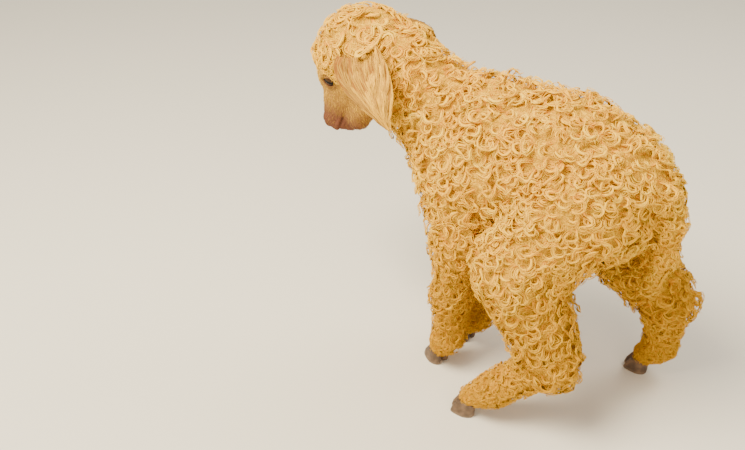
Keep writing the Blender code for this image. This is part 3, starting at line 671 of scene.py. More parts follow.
def scattered(mesh, spacing, chance):
    """Random places on a mesh by area, thinned to one in each small cell, so they lie evenly.

    The cell is as wide as the spacing asked for there, rounded to steps of an eighth.
    """
    mesh.calc_loop_triangles()
    corners = np.empty(len(mesh.loop_triangles) * 3, dtype=np.int32)
    mesh.loop_triangles.foreach_get("vertices", corners)
    places = vertex_places(mesh)[corners.reshape(-1, 3)]
    edges = places[:, 1:] - places[:, :1]
    areas = np.linalg.norm(np.cross(edges[:, 0], edges[:, 1]), axis=1)
    picks = np.searchsorted(np.cumsum(areas), chance.random(TRIED_PLACES) * areas.sum())
    shares = chance.random((TRIED_PLACES, 2))
    shares = np.where(shares.sum(axis=1, keepdims=True) > 1.0, 1.0 - shares, shares)
    points = places[picks, 0] + (shares[:, :, None] * edges[picks]).sum(axis=1)
    wanted = spacing(points)
    points, wanted = points[wanted > 0.0], wanted[wanted > 0.0]
    step = np.round(np.log(wanted) / math.log(CELL_STEP))
    key = np.floor(points / (CELL_STEP ** step)[:, None])
    key = np.column_stack([key, step]).astype(np.int64)
    first = np.unique(key, axis=0, return_index=True)[1]
    return points[np.sort(first)]


def lie_of_coat(points, normals, chance, wander):
    """Way in which the hair falls: down and back, down the face on the head, turned at random."""
    ways = np.tile(np.array([0.0, 0.35, -1.0]), (len(points), 1))
    ways[:, 0] = np.sign(points[:, 0]) * 0.35
    _, front, side = in_head(points)
    off_head = np.linalg.norm(points - SKULL - 0.03 * ALONG, axis=1)
    head_share = np.clip((0.10 - off_head) / 0.02, 0.0, 1.0)[:, None]
    cheek = np.clip(-front / 0.02 + 0.3, 0.0, 1.0)[:, None]
    face_way = ALONG * (1.0 - 0.5 * cheek) - FRONT * 0.7 * cheek + SIDE * side[:, None] * 8.0
    ways = ways * (1.0 - head_share) + face_way * head_share
    ways = unit(ways - (ways * normals).sum(axis=1, keepdims=True) * normals)
    swing = chance.normal(0.0, wander, len(points))[:, None]
    return ways * np.cos(swing) + np.cross(normals, ways) * np.sin(swing)


def strand_faces(count, rows):
    """Triangles of many thin closed strands: rings of points, a point at the tip, a root cap."""
    ring, side = np.meshgrid(np.arange(rows - 2), np.arange(SIDES), indexing="ij")
    after = (side + 1) % SIDES
    low, high = ring * SIDES, (ring + 1) * SIDES
    lower = np.stack([low + side, low + after, high + after], axis=-1).reshape(-1, 3)
    upper = np.stack([low + side, high + after, high + side], axis=-1).reshape(-1, 3)
    last, tip = (rows - 2) * SIDES, (rows - 1) * SIDES
    side = np.arange(SIDES)
    point = np.stack([last + side, last + (side + 1) % SIDES, np.full(SIDES, tip)], axis=-1)
    one = np.concatenate([lower, upper, point, [[2, 1, 0]]])
    return (one[None] + np.arange(count)[:, None, None] * (tip + 1)).reshape(-1, 3)


def tubes(path, guide, width, thick, softness):
    """Closed thin strands along paths: a three-sided ring round each path point but the last.

    path is strands by points by 3, guide the way in which each ring is thin, and width and thick
    the half sizes of each ring. The last path point is the tip, to which the last ring closes.
    Normals are the way out of the ring plus softness times the guide, so soft coats shade as one.
    """
    count, rows = path.shape[:2]
    tangent = unit(np.gradient(path, axis=1))
    broad = unit(np.cross(tangent, guide))
    flat = np.cross(broad, tangent)
    turn = np.linspace(0.0, 2.0 * np.pi, SIDES, endpoint=False)
    ring = (path[:, :, None] + np.cos(turn)[:, None] * flat[:, :, None] * thick[:, :, None, None]
            + np.sin(turn)[:, None] * broad[:, :, None] * width[:, :, None, None])
    body = ring[:, :-1].reshape(count, -1, 3)
    vertices = np.concatenate([body, path[:, -1:]], axis=1).reshape(-1, 3)
    around = np.append(np.tile(np.arange(SIDES) / SIDES, rows - 1), 0.5)
    along = np.append(np.repeat(np.linspace(0.0, 1.0, rows)[:-1], SIDES), 1.0)
    out = np.cos(turn)[:, None] * flat[:, :, None] + np.sin(turn)[:, None] * broad[:, :, None]
    out = np.concatenate([out[:, :-1].reshape(count, -1, 3), tangent[:, -1:]], axis=1)
    toward = np.concatenate([np.repeat(guide[:, :-1], SIDES, axis=1), guide[:, -1:]], axis=1)
    normals = unit(out + softness * toward).reshape(-1, 3)
    return (vertices, strand_faces(count, rows), np.tile(around, count), np.tile(along, count),
            normals)


def strands(name, roots, path, guide, width, thick, tone, material, values=None, softness=0.0):
    """Strands as pieces with fewer than the most triangles, parted from front to back of the kid."""
    rows = path.shape[1]
    most = MOST_TRIANGLES // (2 * SIDES * (rows - 2) + SIDES + 1)
    order = np.argsort(roots[:, 1], kind="stable")
    shares = np.array_split(order, max(1, math.ceil(len(order) / most)))
    for number, chosen in enumerate(shares):
        vertices, faces, around, along, normals = tubes(path[chosen], guide[chosen], width[chosen],
                                                        thick[chosen], softness)
        each = (rows - 1) * SIDES + 1
        patch = np.repeat(unwrapped(roots[chosen]), each, axis=0)
        patch = patch + BAKE_PATCH * np.column_stack([around - 0.5, along - 0.5])
        facts = {"tone": np.repeat(tone[chosen], each), "along": along}
        for fact, numbers in (values or {}).items():
            facts[fact] = np.repeat(numbers[chosen], each)
        maps = {"OFBake": patch, "strand": np.column_stack([around, along])}
        piece = grown(f"{name}_{number + 1}", vertices, faces, material, maps, facts,
                      normals=normals)
        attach(piece, "root")


def curl_size(points):
    """Radius of the curls: widest on trunk and poll, smaller down the legs, least at the feet."""
    coat = coat_at(points)
    on_poll = np.clip((0.080 - np.linalg.norm(points - SKULL, axis=1)) / 0.02, 0.0, 1.0)
    wider = on_poll * POLL_WIDER * np.clip(coat / POLL_COAT, 0.0, 1.0)
    return np.interp(coat, CURL_COATS, CURL_RADII) + wider


def curls(name, roots, normals, lies, free, chance, material, over=None):
    """Locks of a few strands that curl over the coat like the letters C, O and S.

    The heading of a lock turns evenly (C and O) or swings to and fro (S) in the plane of the skin,
    and its place is the running sum of that heading. Meanwhile it climbs from the skin to its own
    height and rolls a little. A lock is a broad band with finer strands spread over it, and all
    meet at its tip. free is how far each may stand out, and over gives the height of places above
    the skin, where the skin curves away under the plane.
    """
    count = len(roots)
    size = curl_size(roots) * chance.uniform(*LOCK_SIZES, count)
    hand = np.sign(chance.uniform(-1.0, 1.0, count))
    turning = chance.uniform(*LOCK_TURNS, count) * hand
    swinging = chance.uniform(*LOCK_SWINGS, count) * hand
    is_wave = chance.random(count) < WAVE_SHARE
    first_way = chance.normal(0.0, 0.45, count) - np.where(is_wave, 0.0, 0.35 * turning)
    length = size * np.where(is_wave, 4.6, np.abs(turning))
    top = free * chance.uniform(0.50, 1.0, count)
    phase = chance.uniform(0.0, 2.0 * np.pi, count)

    lock = np.repeat(np.arange(count), STRANDS_IN_LOCK)
    size, turning, swinging, is_wave, first_way, length, top, phase = (
        fact[lock, None]
        for fact in (size, turning, swinging, is_wave, first_way, length, top, phase))
    own = np.tile(np.arange(STRANDS_IN_LOCK) - 0.5 * (STRANDS_IN_LOCK - 1), count)[:, None]
    strand_count = len(lock)
    along = np.linspace(0.0, 1.0, CURL_POINTS)[None]
    heading = first_way + 0.10 * chance.normal(0.0, 1.0, (strand_count, 1))
    heading = heading + np.where(is_wave, swinging * np.sin(2.0 * np.pi * 0.95 * along),
                                 turning * along ** 1.15)
    step = length / (CURL_POINTS - 1) * chance.uniform(0.90, 1.08, (strand_count, 1))
    ahead = np.cumsum(np.cos(heading) * step, axis=1) - step * np.cos(heading[:, :1])
    aside = np.cumsum(np.sin(heading) * step, axis=1) - step * np.sin(heading[:, :1])
    is_band = (np.arange(strand_count) % STRANDS_IN_LOCK == 0)[:, None]
    beside = np.where(is_band, 0.0, 1.5 * own - 0.75) * 0.20 * size
    beside = beside * (1.0 - 0.85 * along ** 2.5)
    beside = beside + 0.05 * size * chance.normal(0.0, 1.0, (strand_count, 1))
    ahead = ahead - beside * np.sin(heading)
    aside = aside + beside * np.cos(heading)
    across = np.cross(normals, lies)
    path = (roots[lock, None] + ahead[..., None] * lies[lock, None]
            + aside[..., None] * across[lock, None])

    climb = np.clip(along / 0.38, 0.0, 1.0)
    roll = 0.10 * np.sin(2.0 * np.pi * 1.2 * along + phase + 0.8 * own)
    height = top * smooth(climb) - 0.0010
    height = height + top * (roll - 0.12 * along ** 3) * climb
    height = height + np.where(is_band, -0.0008, 0.0)
    if over is not None:
        height = height - over(path.reshape(-1, 3)).reshape(height.shape)
    path = path + height[..., None] * normals[lock, None]
    path[..., 2] = np.maximum(path[..., 2], STRAND_FLOOR)

    breadth = np.where(is_band, BAND_WIDTH, FINE_WIDTH) * size + 0.00008
    breadth = breadth * chance.uniform(0.80, 1.20, (strand_count, 1))
    width = breadth * (0.60 + 0.40 * np.clip(along / 0.3, 0.0, 1.0)) * (1.0 - 0.85 * along ** 2.5)
    tone = chance.uniform(0.0, 1.0, count)[lock] + chance.normal(0.0, 0.15, strand_count)
    guide = np.broadcast_to(normals[lock, None], path.shape)
    thick = width * np.where(is_band, 0.35, 0.85)
    strands(name, roots[lock], path, guide, width, thick, np.clip(tone, 0.0, 1.0), material,
            softness=0.5)


def stray_hairs(roots, normals, coat, chance, material):
    """Single fine hairs that stand out of the fleece: loose waves out past the locks."""
    count = len(roots)
    way = unit(normals + 0.55 * chance.normal(0.0, 1.0, (count, 3)))
    along = np.linspace(0.0, 1.0, STRAY_POINTS)[None]
    bend = unit(np.cross(way, chance.normal(0.0, 1.0, (count, 3))))
    other = np.cross(way, bend)
    phase = chance.uniform(0.0, 2.0 * np.pi, (count, 1))
    angle = phase + 2.0 * np.pi * chance.uniform(0.4, 1.1, (count, 1)) * along
    radius = (0.16 * coat * chance.uniform(0.5, 1.5, count))[:, None] * np.sqrt(along)
    spoke = np.cos(angle)[..., None] * bend[:, None] + np.sin(angle)[..., None] * other[:, None]
    length = coat * (1.0 - SKIN_SHARE) * chance.uniform(0.85, 1.22, count)
    path = roots[:, None] + (length[:, None] * along)[..., None] * way[:, None]
    path = path + radius[..., None] * spoke
    path[..., 2] = np.maximum(path[..., 2], STRAND_FLOOR)
    width = STRAY_WIDTH * (1.0 - 0.7 * along) * np.ones((count, 1))
    strands("stray_hair", roots, path, spoke, width, width, np.full(count, 0.9), material)


def from_ear_root(points):
    """Distance of points from the nearer ear's root, as a patch of its leaf by the skull."""
    nearest = np.full(len(points), np.inf)
    for spec in EARS.values():
        share, across = np.linspace(0.0, 0.22, 6)[:, None], np.linspace(-0.5, 0.6, 5)[None]
        patch = ear_surface(spec, share, across).reshape(1, -1, 3)
        nearest = np.minimum(nearest, np.linalg.norm(points[:, None] - patch, axis=-1).min(axis=1))
    return nearest


def fleece(skin, material):
    """The fleece: locks all over the woolly skin and the roots of the ears, and stray hairs.

    Neighbours lie the same way and stand out alike, both wandering slowly over the body, so the
    locks gather in tufts with hollows between them.
    """
    chance = np.random.default_rng(FLEECE_SEED)

    def spacing(points):
        """Room for a lock, by the radius of its curl, or less than none where no wool grows."""
        coat = coat_at(points)
        return np.where(coat > LEAST_WOOL, LOCK_SPACING * curl_size(points), -1.0)

    roots = scattered(skin.data, spacing, chance)
    roots = roots[roots[:, 2] > WOOL_FLOOR + 0.003]
    for centre, _ in EYES.values():
        roots = roots[np.linalg.norm(roots - centre, axis=1) > EYE_CLEAR]
    from_ear = from_ear_root(roots)
    roots, from_ear = roots[from_ear > EAR_CLEAR], from_ear[from_ear > EAR_CLEAR]
    normals = unit(slope(roots))
    coat = coat_at(roots)
    lies = lie_of_coat(roots, normals, chance, 0.5)
    swing = 1.3 * drift_of(roots, 85.0, 3)[:, None]
    lies = lies * np.cos(swing) + np.cross(normals, lies) * np.sin(swing)
    free = coat * (1.0 - SKIN_SHARE) * 0.88 + np.minimum(1.6 * tuft_relief(roots), 0.12 * coat)
    free = free * np.interp(from_ear, (EAR_CLEAR, 2.0 * EAR_CLEAR), (0.55, 1.0))
    curls("fleece", roots, normals, lies, free, chance, material, field)
    loose = chance.random(len(roots)) < STRAY_SHARE
    stray_hairs(roots[loose], normals[loose], coat[loose], chance, material)

    for side_name, spec in EARS.items():
        count = EAR_ROOT_LOCKS
        share, across = chance.uniform(0.01, 0.06, count), chance.uniform(-1.0, -0.2, count)
        face = np.sign(chance.uniform(-1.0, 1.0, count))
        base = ear_surface(spec, share, across, face)
        normals = unit(base - ear_surface(spec, share, across, 0.0))
        lies = ear_surface(spec, share + 0.02, across) - ear_surface(spec, share, across)
        lies = unit(lies - (lies * normals).sum(axis=1, keepdims=True) * normals)
        free = 0.008 * chance.uniform(0.6, 1.0, count)
        curls("ear_root_" + side_name, base, normals, lies, free, chance, material)


def ear_surface(spec, share, across, side=0.0):
    """Place on an ear: a leaf along a bent line, cupped and with a rolled rim.

    share runs from root to tip, across from the rear edge at -1 to the front edge at 1, and side
    is where it lies in the thickness. The cup grows with across squared, the rim's roll with its
    eighth power, and low ripples run from root to tip.
    """
    root, out, down, tip, root_way, tip_way = (np.array(place) for place in spec)
    share, across, side = np.broadcast_arrays(share, across, side)
    share = share[..., None]
    rest = 1.0 - share
    centre = (rest ** 3 * root + 3 * share * rest ** 2 * out
              + 3 * share ** 2 * rest * down + share ** 3 * tip)
    tangent = (rest ** 2 * (out - root) + 2 * share * rest * (down - out)
               + share ** 2 * (tip - down))
    wide = unit(rest * root_way + share * tip_way)
    outward = unit(np.cross(tangent, wide))
    share = share[..., 0]
    swell = 0.34 + 0.66 * np.sin(np.pi * np.minimum(share / 0.9, 1.0) ** 0.8) ** 0.8
    closing = np.sqrt(np.maximum(1.0 - share ** 4, 0.0))
    base = np.sqrt(np.maximum(1.0 - (1.0 - np.clip(share / 0.16, 0.0, 1.0)) ** 2, 0.0))
    half = (EAR_HALF_WIDTH * swell * closing + 0.0025 * (share < 0.999)) * base
    thick = EAR_THICK * (1.1 - 0.6 * share) * (1.0 - 0.45 * across ** 2) * base * closing ** 0.5
    roll = np.where(across < 0.0, 0.16, 0.08) * np.abs(across) ** 8
    ripple = 0.0006 * np.sin(9.0 * across + 2.0 * share) * np.sin(np.pi * share)
    cup = half * (0.30 * across ** 2 + roll) + ripple
    inset = half * across * (1.0 - np.where(across < 0.0, 0.03, 0.02) * across ** 8)
    return centre + wide * inset[..., None] + outward * (thick * side - cup)[..., None]


def ear(name, spec, material):
    """An ear: the leaf's two faces joined round its rim, as rings from root to tip."""
    rows, sides = 72, 64
    share = np.linspace(0.0, 1.0, rows)[:, None]
    turn = np.linspace(0.0, 2.0 * np.pi, sides, endpoint=False)[None]
    vertices = ear_surface(spec, share, np.cos(turn), np.sin(turn))
    faces = ring_faces(rows, sides)
    values = {"across": np.broadcast_to(np.cos(turn), (rows, sides)).ravel(),
              "along": np.broadcast_to(share, (rows, sides)).ravel()}
    piece = closed(grown(name, vertices.reshape(-1, 3), faces, material, values=values))
    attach(piece, "root")
    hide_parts(name)


def ear_hair(name, spec, material, seed, bare_and_shaded):
    """Straight hair on both faces of an ear: bundles that run down the leaf and lift off it.

    The hairs of a bundle start close together and draw nearer to its tip; bare skin shows between the
    bundles, along the front edge, and in a band inside the rolled rear rim, where the darker skin
    stands as painted shade of the fold. bare_and_shaded is the share of the outer face near the root
    that is left bare, and it also browns all the hair of the outer face as painted shade.
    """
    chance = np.random.default_rng(seed)
    share = chance.uniform(0.0, 0.93, EAR_BUNDLES)
    across = chance.uniform(-1.0, 0.98, EAR_BUNDLES)
    face = np.where(chance.random(EAR_BUNDLES) < 0.66, -1.0, 1.0)
    # The band inside the rolled rear rim is bared so its darker skin stands as painted shade of the
    # fold
    bare = (across > 0.42 - 0.5 * share) & (share < 0.62) | (across < -0.72) & (across > -0.93)
    keep = ~((face < 0.0) & bare & (chance.random(EAR_BUNDLES) < 0.62))
    keep = keep & ~((face > 0.0) & (share < 0.6) & (chance.random(EAR_BUNDLES) < bare_and_shaded))
    share, across, face = share[keep], across[keep], face[keep]
    own = np.repeat(np.arange(len(share)), EAR_HAIRS_IN_BUNDLE)
    count = len(own)
    step = np.linspace(0.0, 1.0, HAIR_POINTS + 2)[None]
    length = chance.uniform(0.16, 0.30, len(share))[own, None]
    length = length * np.where(face[own, None] < 0.0, 1.0, 0.7) * chance.uniform(0.7, 1.1, (count, 1))
    drift = chance.normal(0.0, 0.09, len(share))[own, None]
    apart = chance.normal(0.0, 0.050, (count, 1)) * (1.0 - 0.7 * step ** 2)
    rows = share[own, None] + chance.uniform(-0.02, 0.02, (count, 1)) + length * step
    rows = np.clip(rows, 0.0, 1.03)
    columns = across[own, None] * (1.0 - 0.9 * step * length) + drift * step ** 1.5 + apart
    columns = np.clip(columns, -1.0, 1.0)
    inside = np.clip(rows, 0.04, 0.985)
    lift = EAR_HAIR_LIFT * step ** 0.7 * (1.0 - 0.5 * step ** 3)
    lift = lift * chance.uniform(0.3, 1.3, (count, 1))
    centre = ear_surface(spec, inside, columns)
    tangent = unit(centre - ear_surface(spec, inside - 0.02, columns))
    over = ear_surface(spec, inside, columns, 1.0) - centre
    normal = unit(over) * face[own, None, None]
    path = centre + normal * (np.linalg.norm(over, axis=-1) * 0.8 + lift)[..., None]
    path = path + tangent * ((rows - inside) * 0.10)[..., None]
    path[..., 2] -= 0.0015 * step ** 2
    width = EAR_HAIR_WIDTH * chance.uniform(0.6, 1.3, (count, 1)) * (1.0 - 0.85 * step ** 2)
    tone = np.clip(chance.uniform(0.2, 1.0, len(share))[own] + chance.normal(0, 0.15, count), 0, 1)
    # bare_and_shaded browns all the hair of the outer face: painted shade
    pink = 0.30 + 0.50 * across[own] - 0.25 * share[own] + bare_and_shaded * (face[own] > 0.0)
    pink = np.clip(pink, 0.0, 1.0)
    strands(name, path[:, 0], path, normal, width, 0.6 * width, tone, material, {"pink": pink},
            softness=0.8)


def pink_of(points):
    """How far the skin shows pink: the end of the muzzle, the lips and a ring round each eye."""
    along, front, side = in_head(points)
    muzzle = np.clip((along - 0.068 - 0.25 * np.maximum(front, 0.0)) / 0.030, 0.0, 1.0)
    lids = np.zeros(len(points))
    for centre, facing in EYES.values():
        away = np.linalg.norm(points - centre - facing * EYE_RADIUS * 0.8, axis=1)
        lids = np.maximum(lids, bump_of(np.maximum(away - 0.008, 0.0), 0.010))
    return np.clip(muzzle * (along < 0.15) * (np.abs(side) < 0.06) + 0.6 * lids, 0.0, 1.0)


def face_hair(skin, material):
    """Short hair on the face and round the ears' roots, laid along the skin and lifting off it."""
    chance = np.random.default_rng(FACE_SEED)

    def spacing(points):
        """Room for a hair, wider on the nose, or less than none off the face and ear roots."""
        coat = coat_at(points)
        along, front, side = in_head(points)
        nose = np.clip((along - 0.085) / 0.02, 0.0, 1.0)
        on_head_only = (np.abs(side) < 0.07) & (along > 0.005) & (along < 0.135) & (front > -0.06)
        haired = on_head_only & (coat < 0.011) | (from_ear_root(points) < 1.35 * EAR_CLEAR)
        return np.where(haired, 0.0021 + 0.0009 * nose, -1.0)

    roots = scattered(skin.data, spacing, chance)
    for centre, facing in EYES.values():
        offset = roots - centre
        aside = np.linalg.norm(offset - (offset @ facing)[:, None] * facing, axis=1)
        roots = roots[(aside > 0.0088) | (offset @ facing < 0.0)]
    along, front, _ = in_head(roots)
    slit = np.abs(front - MOUTH_PLACE[1]) < 0.0018
    roots = roots[~(slit & (along > 0.092)) & (along < HEAD_LENGTH + 0.012)]
    count = len(roots)
    normals = unit(slope(roots))
    lies = lie_of_coat(roots, normals, chance, 0.22)
    along = in_head(roots)[0]
    length = np.interp(along, (0.02, 0.05, 0.10, 0.115), (0.0120, 0.0090, 0.0055, 0.0030))
    length = length * chance.uniform(0.7, 1.25, count)
    step = np.linspace(0.0, 1.0, HAIR_POINTS)[None]
    path = roots[:, None] + lies[:, None] * (length[:, None] * step)[..., None]
    flat = settled(path.reshape(-1, 3), 1)
    over = unit(slope(flat)).reshape(path.shape)
    rise = 0.0010 * (step * 1.2 - 0.25) * chance.uniform(0.5, 1.7, (count, 1))
    path = flat.reshape(path.shape) + over * rise[..., None]
    width = FACE_HAIR_WIDTH * chance.uniform(0.7, 1.3, (count, 1)) * (1.0 - 0.85 * step ** 2)
    strands("face_hair", roots, path, over, width, 0.5 * width, chance.uniform(0.0, 1.0, count),
            material, {"pink": pink_of(roots)}, softness=1.5)


def eyelids(name, centre, facing, material):
    """Lids: rings round an almond, from under the eyeball's front over a soft edge to the face.

    The almond's half height is its height times one less a part of the squared cosine round it.
    Rings inside the edge lie on the eyeball, the edge stands over it, and outer rings settle on the
    skin. A last ring under the outer one leads back to the first, which closes the band.
    """
    rows, sides = 15, 72
    rim_axis, rim_up = eye_frame(facing)
    turn = np.linspace(0.0, 2.0 * np.pi, sides, endpoint=False)[None]
    share = np.linspace(0.0, 1.0, rows)[:, None]
    reach = LID_HALF_LENGTH + (LID_MARGIN - LID_HALF_LENGTH) * share
    tall = LID_HALF_HEIGHT + (LID_MARGIN - LID_HALF_HEIGHT) * share
    lengthwise = reach * np.cos(turn)
    crosswise = tall * np.sin(turn) * (1.0 - 0.28 * (1.0 - share) * np.cos(turn) ** 2)
    flat = centre + lengthwise[..., None] * rim_axis + crosswise[..., None] * rim_up
    aside = np.sqrt(lengthwise ** 2 + crosswise ** 2)
    ball = np.sqrt(np.maximum((EYE_RADIUS + 0.0002) ** 2 - aside ** 2, 0.0))
    face = settled((flat + facing * EYE_RADIUS).reshape(-1, 3), 4).reshape(flat.shape)
    skin_height = (face - centre) @ facing
    upper = np.clip(np.sin(turn), 0.0, 1.0)
    edge = np.maximum(ball, skin_height * 0.6) + 0.0002 + (0.0011 + 0.0005 * upper) * bump_of(
        share - 0.14, 0.30)
    over = smooth((share - 0.12) / 0.75)
    crease = 0.0007 * upper * bump_of(share - 0.50, 0.12)
    height = edge * (1.0 - over) + (skin_height + 0.0006 * (1.0 - share) - crease) * over
    height = height - 0.0022 * (share < 0.01) - 0.0008 * (share > 0.95)
    points = flat + height[..., None] * facing
    rings = np.concatenate([points, points[-1:] - 0.0030 * facing, points[:1]]).reshape(-1, 3)
    edge_share = np.append(share, (1.0, 0.0))
    values = {"pink": np.full(len(rings), 0.55),
              "rim": np.repeat(bump_of(edge_share - 0.05, 0.22), sides),
              "wool": np.zeros(len(rings))}
    piece = closed(grown(name, rings, ring_faces(rows + 2, sides), material, values=values))
    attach(piece, "root")


def eyeball(name, centre, facing, material):
    """An eyeball: rings of latitude round the way it looks, with a low bulge over the iris."""
    rows, sides = 40, 48
    rim_axis, rim_up = eye_frame(facing)
    tilt = np.linspace(0.0, np.pi, rows)[:, None]
    turn = np.linspace(0.0, 2.0 * np.pi, sides, endpoint=False)[None]
    radius = EYE_RADIUS + 0.0004 * bump_of(tilt, 0.75)
    aside = (radius * np.sin(tilt))[..., None]
    spoke = np.cos(turn)[..., None] * rim_axis + np.sin(turn)[..., None] * rim_up
    vertices = centre + aside * spoke + (radius * np.cos(tilt))[..., None] * facing
    values = {"iris": np.broadcast_to(tilt, (rows, sides)).ravel(),
              "slot": (np.abs(np.sin(turn)) * np.sin(tilt)).ravel()}
    faces = ring_faces(rows, sides)[:, ::-1]
    piece = closed(grown(name, vertices.reshape(-1, 3), faces, material, values=values))
    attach(piece, "root")
    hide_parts(name)


def lashes(name, centre, facing, material, seed):
    """Brown lashes on the upper lid: short arcs that start at its edge and sweep out and down."""
    chance = np.random.default_rng(seed)
    rim_axis, rim_up = eye_frame(facing)
    count = LASHES
    turn = np.linspace(0.25, np.pi - 0.25, count) + chance.normal(0.0, 0.03, count)
    lengthwise = (LID_HALF_LENGTH + 0.0006) * np.cos(turn)
    crosswise = (LID_HALF_HEIGHT + 0.0006) * np.sin(turn) * (1.0 - 0.28 * np.cos(turn) ** 2)
    height = np.sqrt(np.maximum(EYE_RADIUS ** 2 - lengthwise ** 2 - crosswise ** 2, 0.0)) + 0.0010
    root = (centre + lengthwise[:, None] * rim_axis + crosswise[:, None] * rim_up
            + height[:, None] * facing)
    step = np.linspace(0.0, 1.0, HAIR_POINTS)[None]
    length = LASH_LENGTH * chance.uniform(0.75, 1.15, (count, 1))
    fan = 0.45 * np.cos(turn)[:, None] * step
    path = (root[:, None] + facing * (length * step)[..., None]
            + rim_axis * (length * fan)[..., None]
            - rim_up * (length * (0.55 * step ** 2 - 0.25 * step))[..., None])
    width = LASH_WIDTH * (1.0 - 0.8 * step) * np.ones((count, 1))
    guide = np.broadcast_to(rim_up, path.shape)
    strands(name, root, path, guide, width, width, np.full(count, 0.8), material,
            {"pink": np.ones(count)})


def claw(name, joints, hand, material):
    """A claw: stacked ovals with low growth ridges, closed over flat at the sole and at the top."""
    rings = claw_rings(joints[4], claw_heading(joints) - CLAW_SPLAY * hand, hand, CLAW_RINGS,
                       CLAW_SIDES)
    middle = rings.mean(axis=1, keepdims=True)
    low = np.linspace(0.0, 1.0, CLAW_RINGS)
    soft = 1.0 - 0.06 * bump_of(low, 0.10) - 0.14 * bump_of(low - 1.0, 0.12)
    ridge = 1.0 + 0.010 * np.sin(low * 46.0) * bump_of(low - 0.5, 0.6)
    rings = middle + (rings - middle) * (soft * ridge)[:, None, None]
    sole = middle[:1] + (rings[:1] - middle[:1]) * np.array([0.82, 0.0])[:, None, None]
    cap = middle[-1:] + (rings[-1:] - middle[-1:]) * np.array([0.6, 0.0])[:, None, None]
    rings = np.concatenate([sole[::-1], rings, cap])
    height = np.repeat(rings[:, :, 2].mean(axis=1) / CLAW_HEIGHT, CLAW_SIDES)
    piece = closed(grown(name, rings.reshape(-1, 3), ring_faces(len(rings), CLAW_SIDES), material,
                         values={"height": height}))
    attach(piece, "root")
    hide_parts(name)


def group_sockets(name, inputs, outputs):
    """An empty shader node group with named inputs and outputs."""
    group = bpy.data.node_groups.new(name, "ShaderNodeTree")
    for socket_name, kind, value in inputs:
        socket = group.interface.new_socket(socket_name, in_out="INPUT", socket_type=kind)
        socket.default_value = value
    for socket_name, kind in outputs:
        group.interface.new_socket(socket_name, in_out="OUTPUT", socket_type=kind)
    return group, group.nodes.new("NodeGroupInput"), group.nodes.new("NodeGroupOutput")


def noise(tree, vector, scale, detail=3.0, distortion=0.0):
    """A noise texture read at a vector; distortion winds it into swirls."""
    node = tree.nodes.new("ShaderNodeTexNoise")
    node.inputs["Scale"].default_value = scale
    node.inputs["Detail"].default_value = detail
    node.inputs["Distortion"].default_value = distortion
    tree.links.new(vector, node.inputs["Vector"])
    return node.outputs["Fac"]


def mixed(tree, factor, first, second):
    """A colour between two, by a factor; each may be a socket or a plain colour."""
    node = tree.nodes.new("ShaderNodeMix")
    node.data_type = "RGBA"
    colours = [socket for socket in node.inputs if socket.type == "RGBA"]
    tree.links.new(factor, node.inputs[0])
    for socket, given in zip(colours, (first, second)):
        if isinstance(given, tuple):
            socket.default_value = (*given, 1.0)
        else:
            tree.links.new(given, socket)
    return [socket for socket in node.outputs if socket.type == "RGBA"][0]


def ranged(tree, value, low, high, to_low=0.0, to_high=1.0):
    """A value carried smoothly from one range to another."""
    node = tree.nodes.new("ShaderNodeMapRange")
    node.interpolation_type = "SMOOTHSTEP"
    for number, given in enumerate((low, high, to_low, to_high), start=1):
        node.inputs[number].default_value = given
    tree.links.new(value, node.inputs[0])
    return node.outputs[0]


def attribute(tree, name):
    """A value kept on the piece's own vertices."""
    node = tree.nodes.new("ShaderNodeAttribute")
    node.attribute_name = name
    return node.outputs["Fac"]


def worked(tree, operation, *given):
    """A number worked out by a math node from sockets and plain numbers."""
    node = tree.nodes.new("ShaderNodeMath")
    node.operation = operation
    for socket, value in zip(node.inputs, given):
        if isinstance(value, float):
            socket.default_value = value
        else:
            tree.links.new(value, socket)
    return node.outputs[0]


def mottle_group():
    """Slow and fine changes of tone over a surface, and how low down the legs it is, from
    Object coordinates."""
    group, into, out = group_sockets(
        "mottle", [("Scale", "NodeSocketFloat", 12.0)],
        [("Slow", "NodeSocketFloat"), ("Fine", "NodeSocketFloat"), ("Low", "NodeSocketFloat")])
    place = group.nodes.new("ShaderNodeTexCoord").outputs["Object"]
    slow = group.nodes.new("ShaderNodeTexNoise")
    slow.inputs["Detail"].default_value = 2.0
    group.links.new(place, slow.inputs["Vector"])
    group.links.new(into.outputs["Scale"], slow.inputs["Scale"])
    fine = noise(group, place, 340.0, 4.0)
    group.links.new(ranged(group, slow.outputs["Fac"], 0.36, 0.64), out.inputs["Slow"])
    group.links.new(ranged(group, fine, 0.35, 0.65), out.inputs["Fine"])
    height = group.nodes.new("ShaderNodeSeparateXYZ")
    group.links.new(place, height.inputs[0])
    group.links.new(ranged(group, height.outputs["Z"], *LOW_LEGS), out.inputs["Low"])
    return group


def fibre_group():
    """Fine fibres along a strand: noise stretched from root to tip of its own map, as a height."""
    group, into, out = group_sockets(
        "fibres", [("Count", "NodeSocketFloat", 16.0)], [("Height", "NodeSocketFloat")])
    strand = group.nodes.new("ShaderNodeUVMap")
    strand.uv_map = "strand"
    apart = group.nodes.new("ShaderNodeSeparateXYZ")
    group.links.new(strand.outputs["UV"], apart.inputs[0])
    joined = group.nodes.new("ShaderNodeCombineXYZ")
    spread = worked(group, "MULTIPLY", apart.outputs["X"], into.outputs["Count"])
    group.links.new(spread, joined.inputs["X"])
    group.links.new(apart.outputs["Y"], joined.inputs["Y"])
    group.links.new(attribute(group, "tone"), joined.inputs["Z"])
    group.links.new(noise(group, joined.outputs[0], 3.0, 2.0), out.inputs["Height"])
    return group


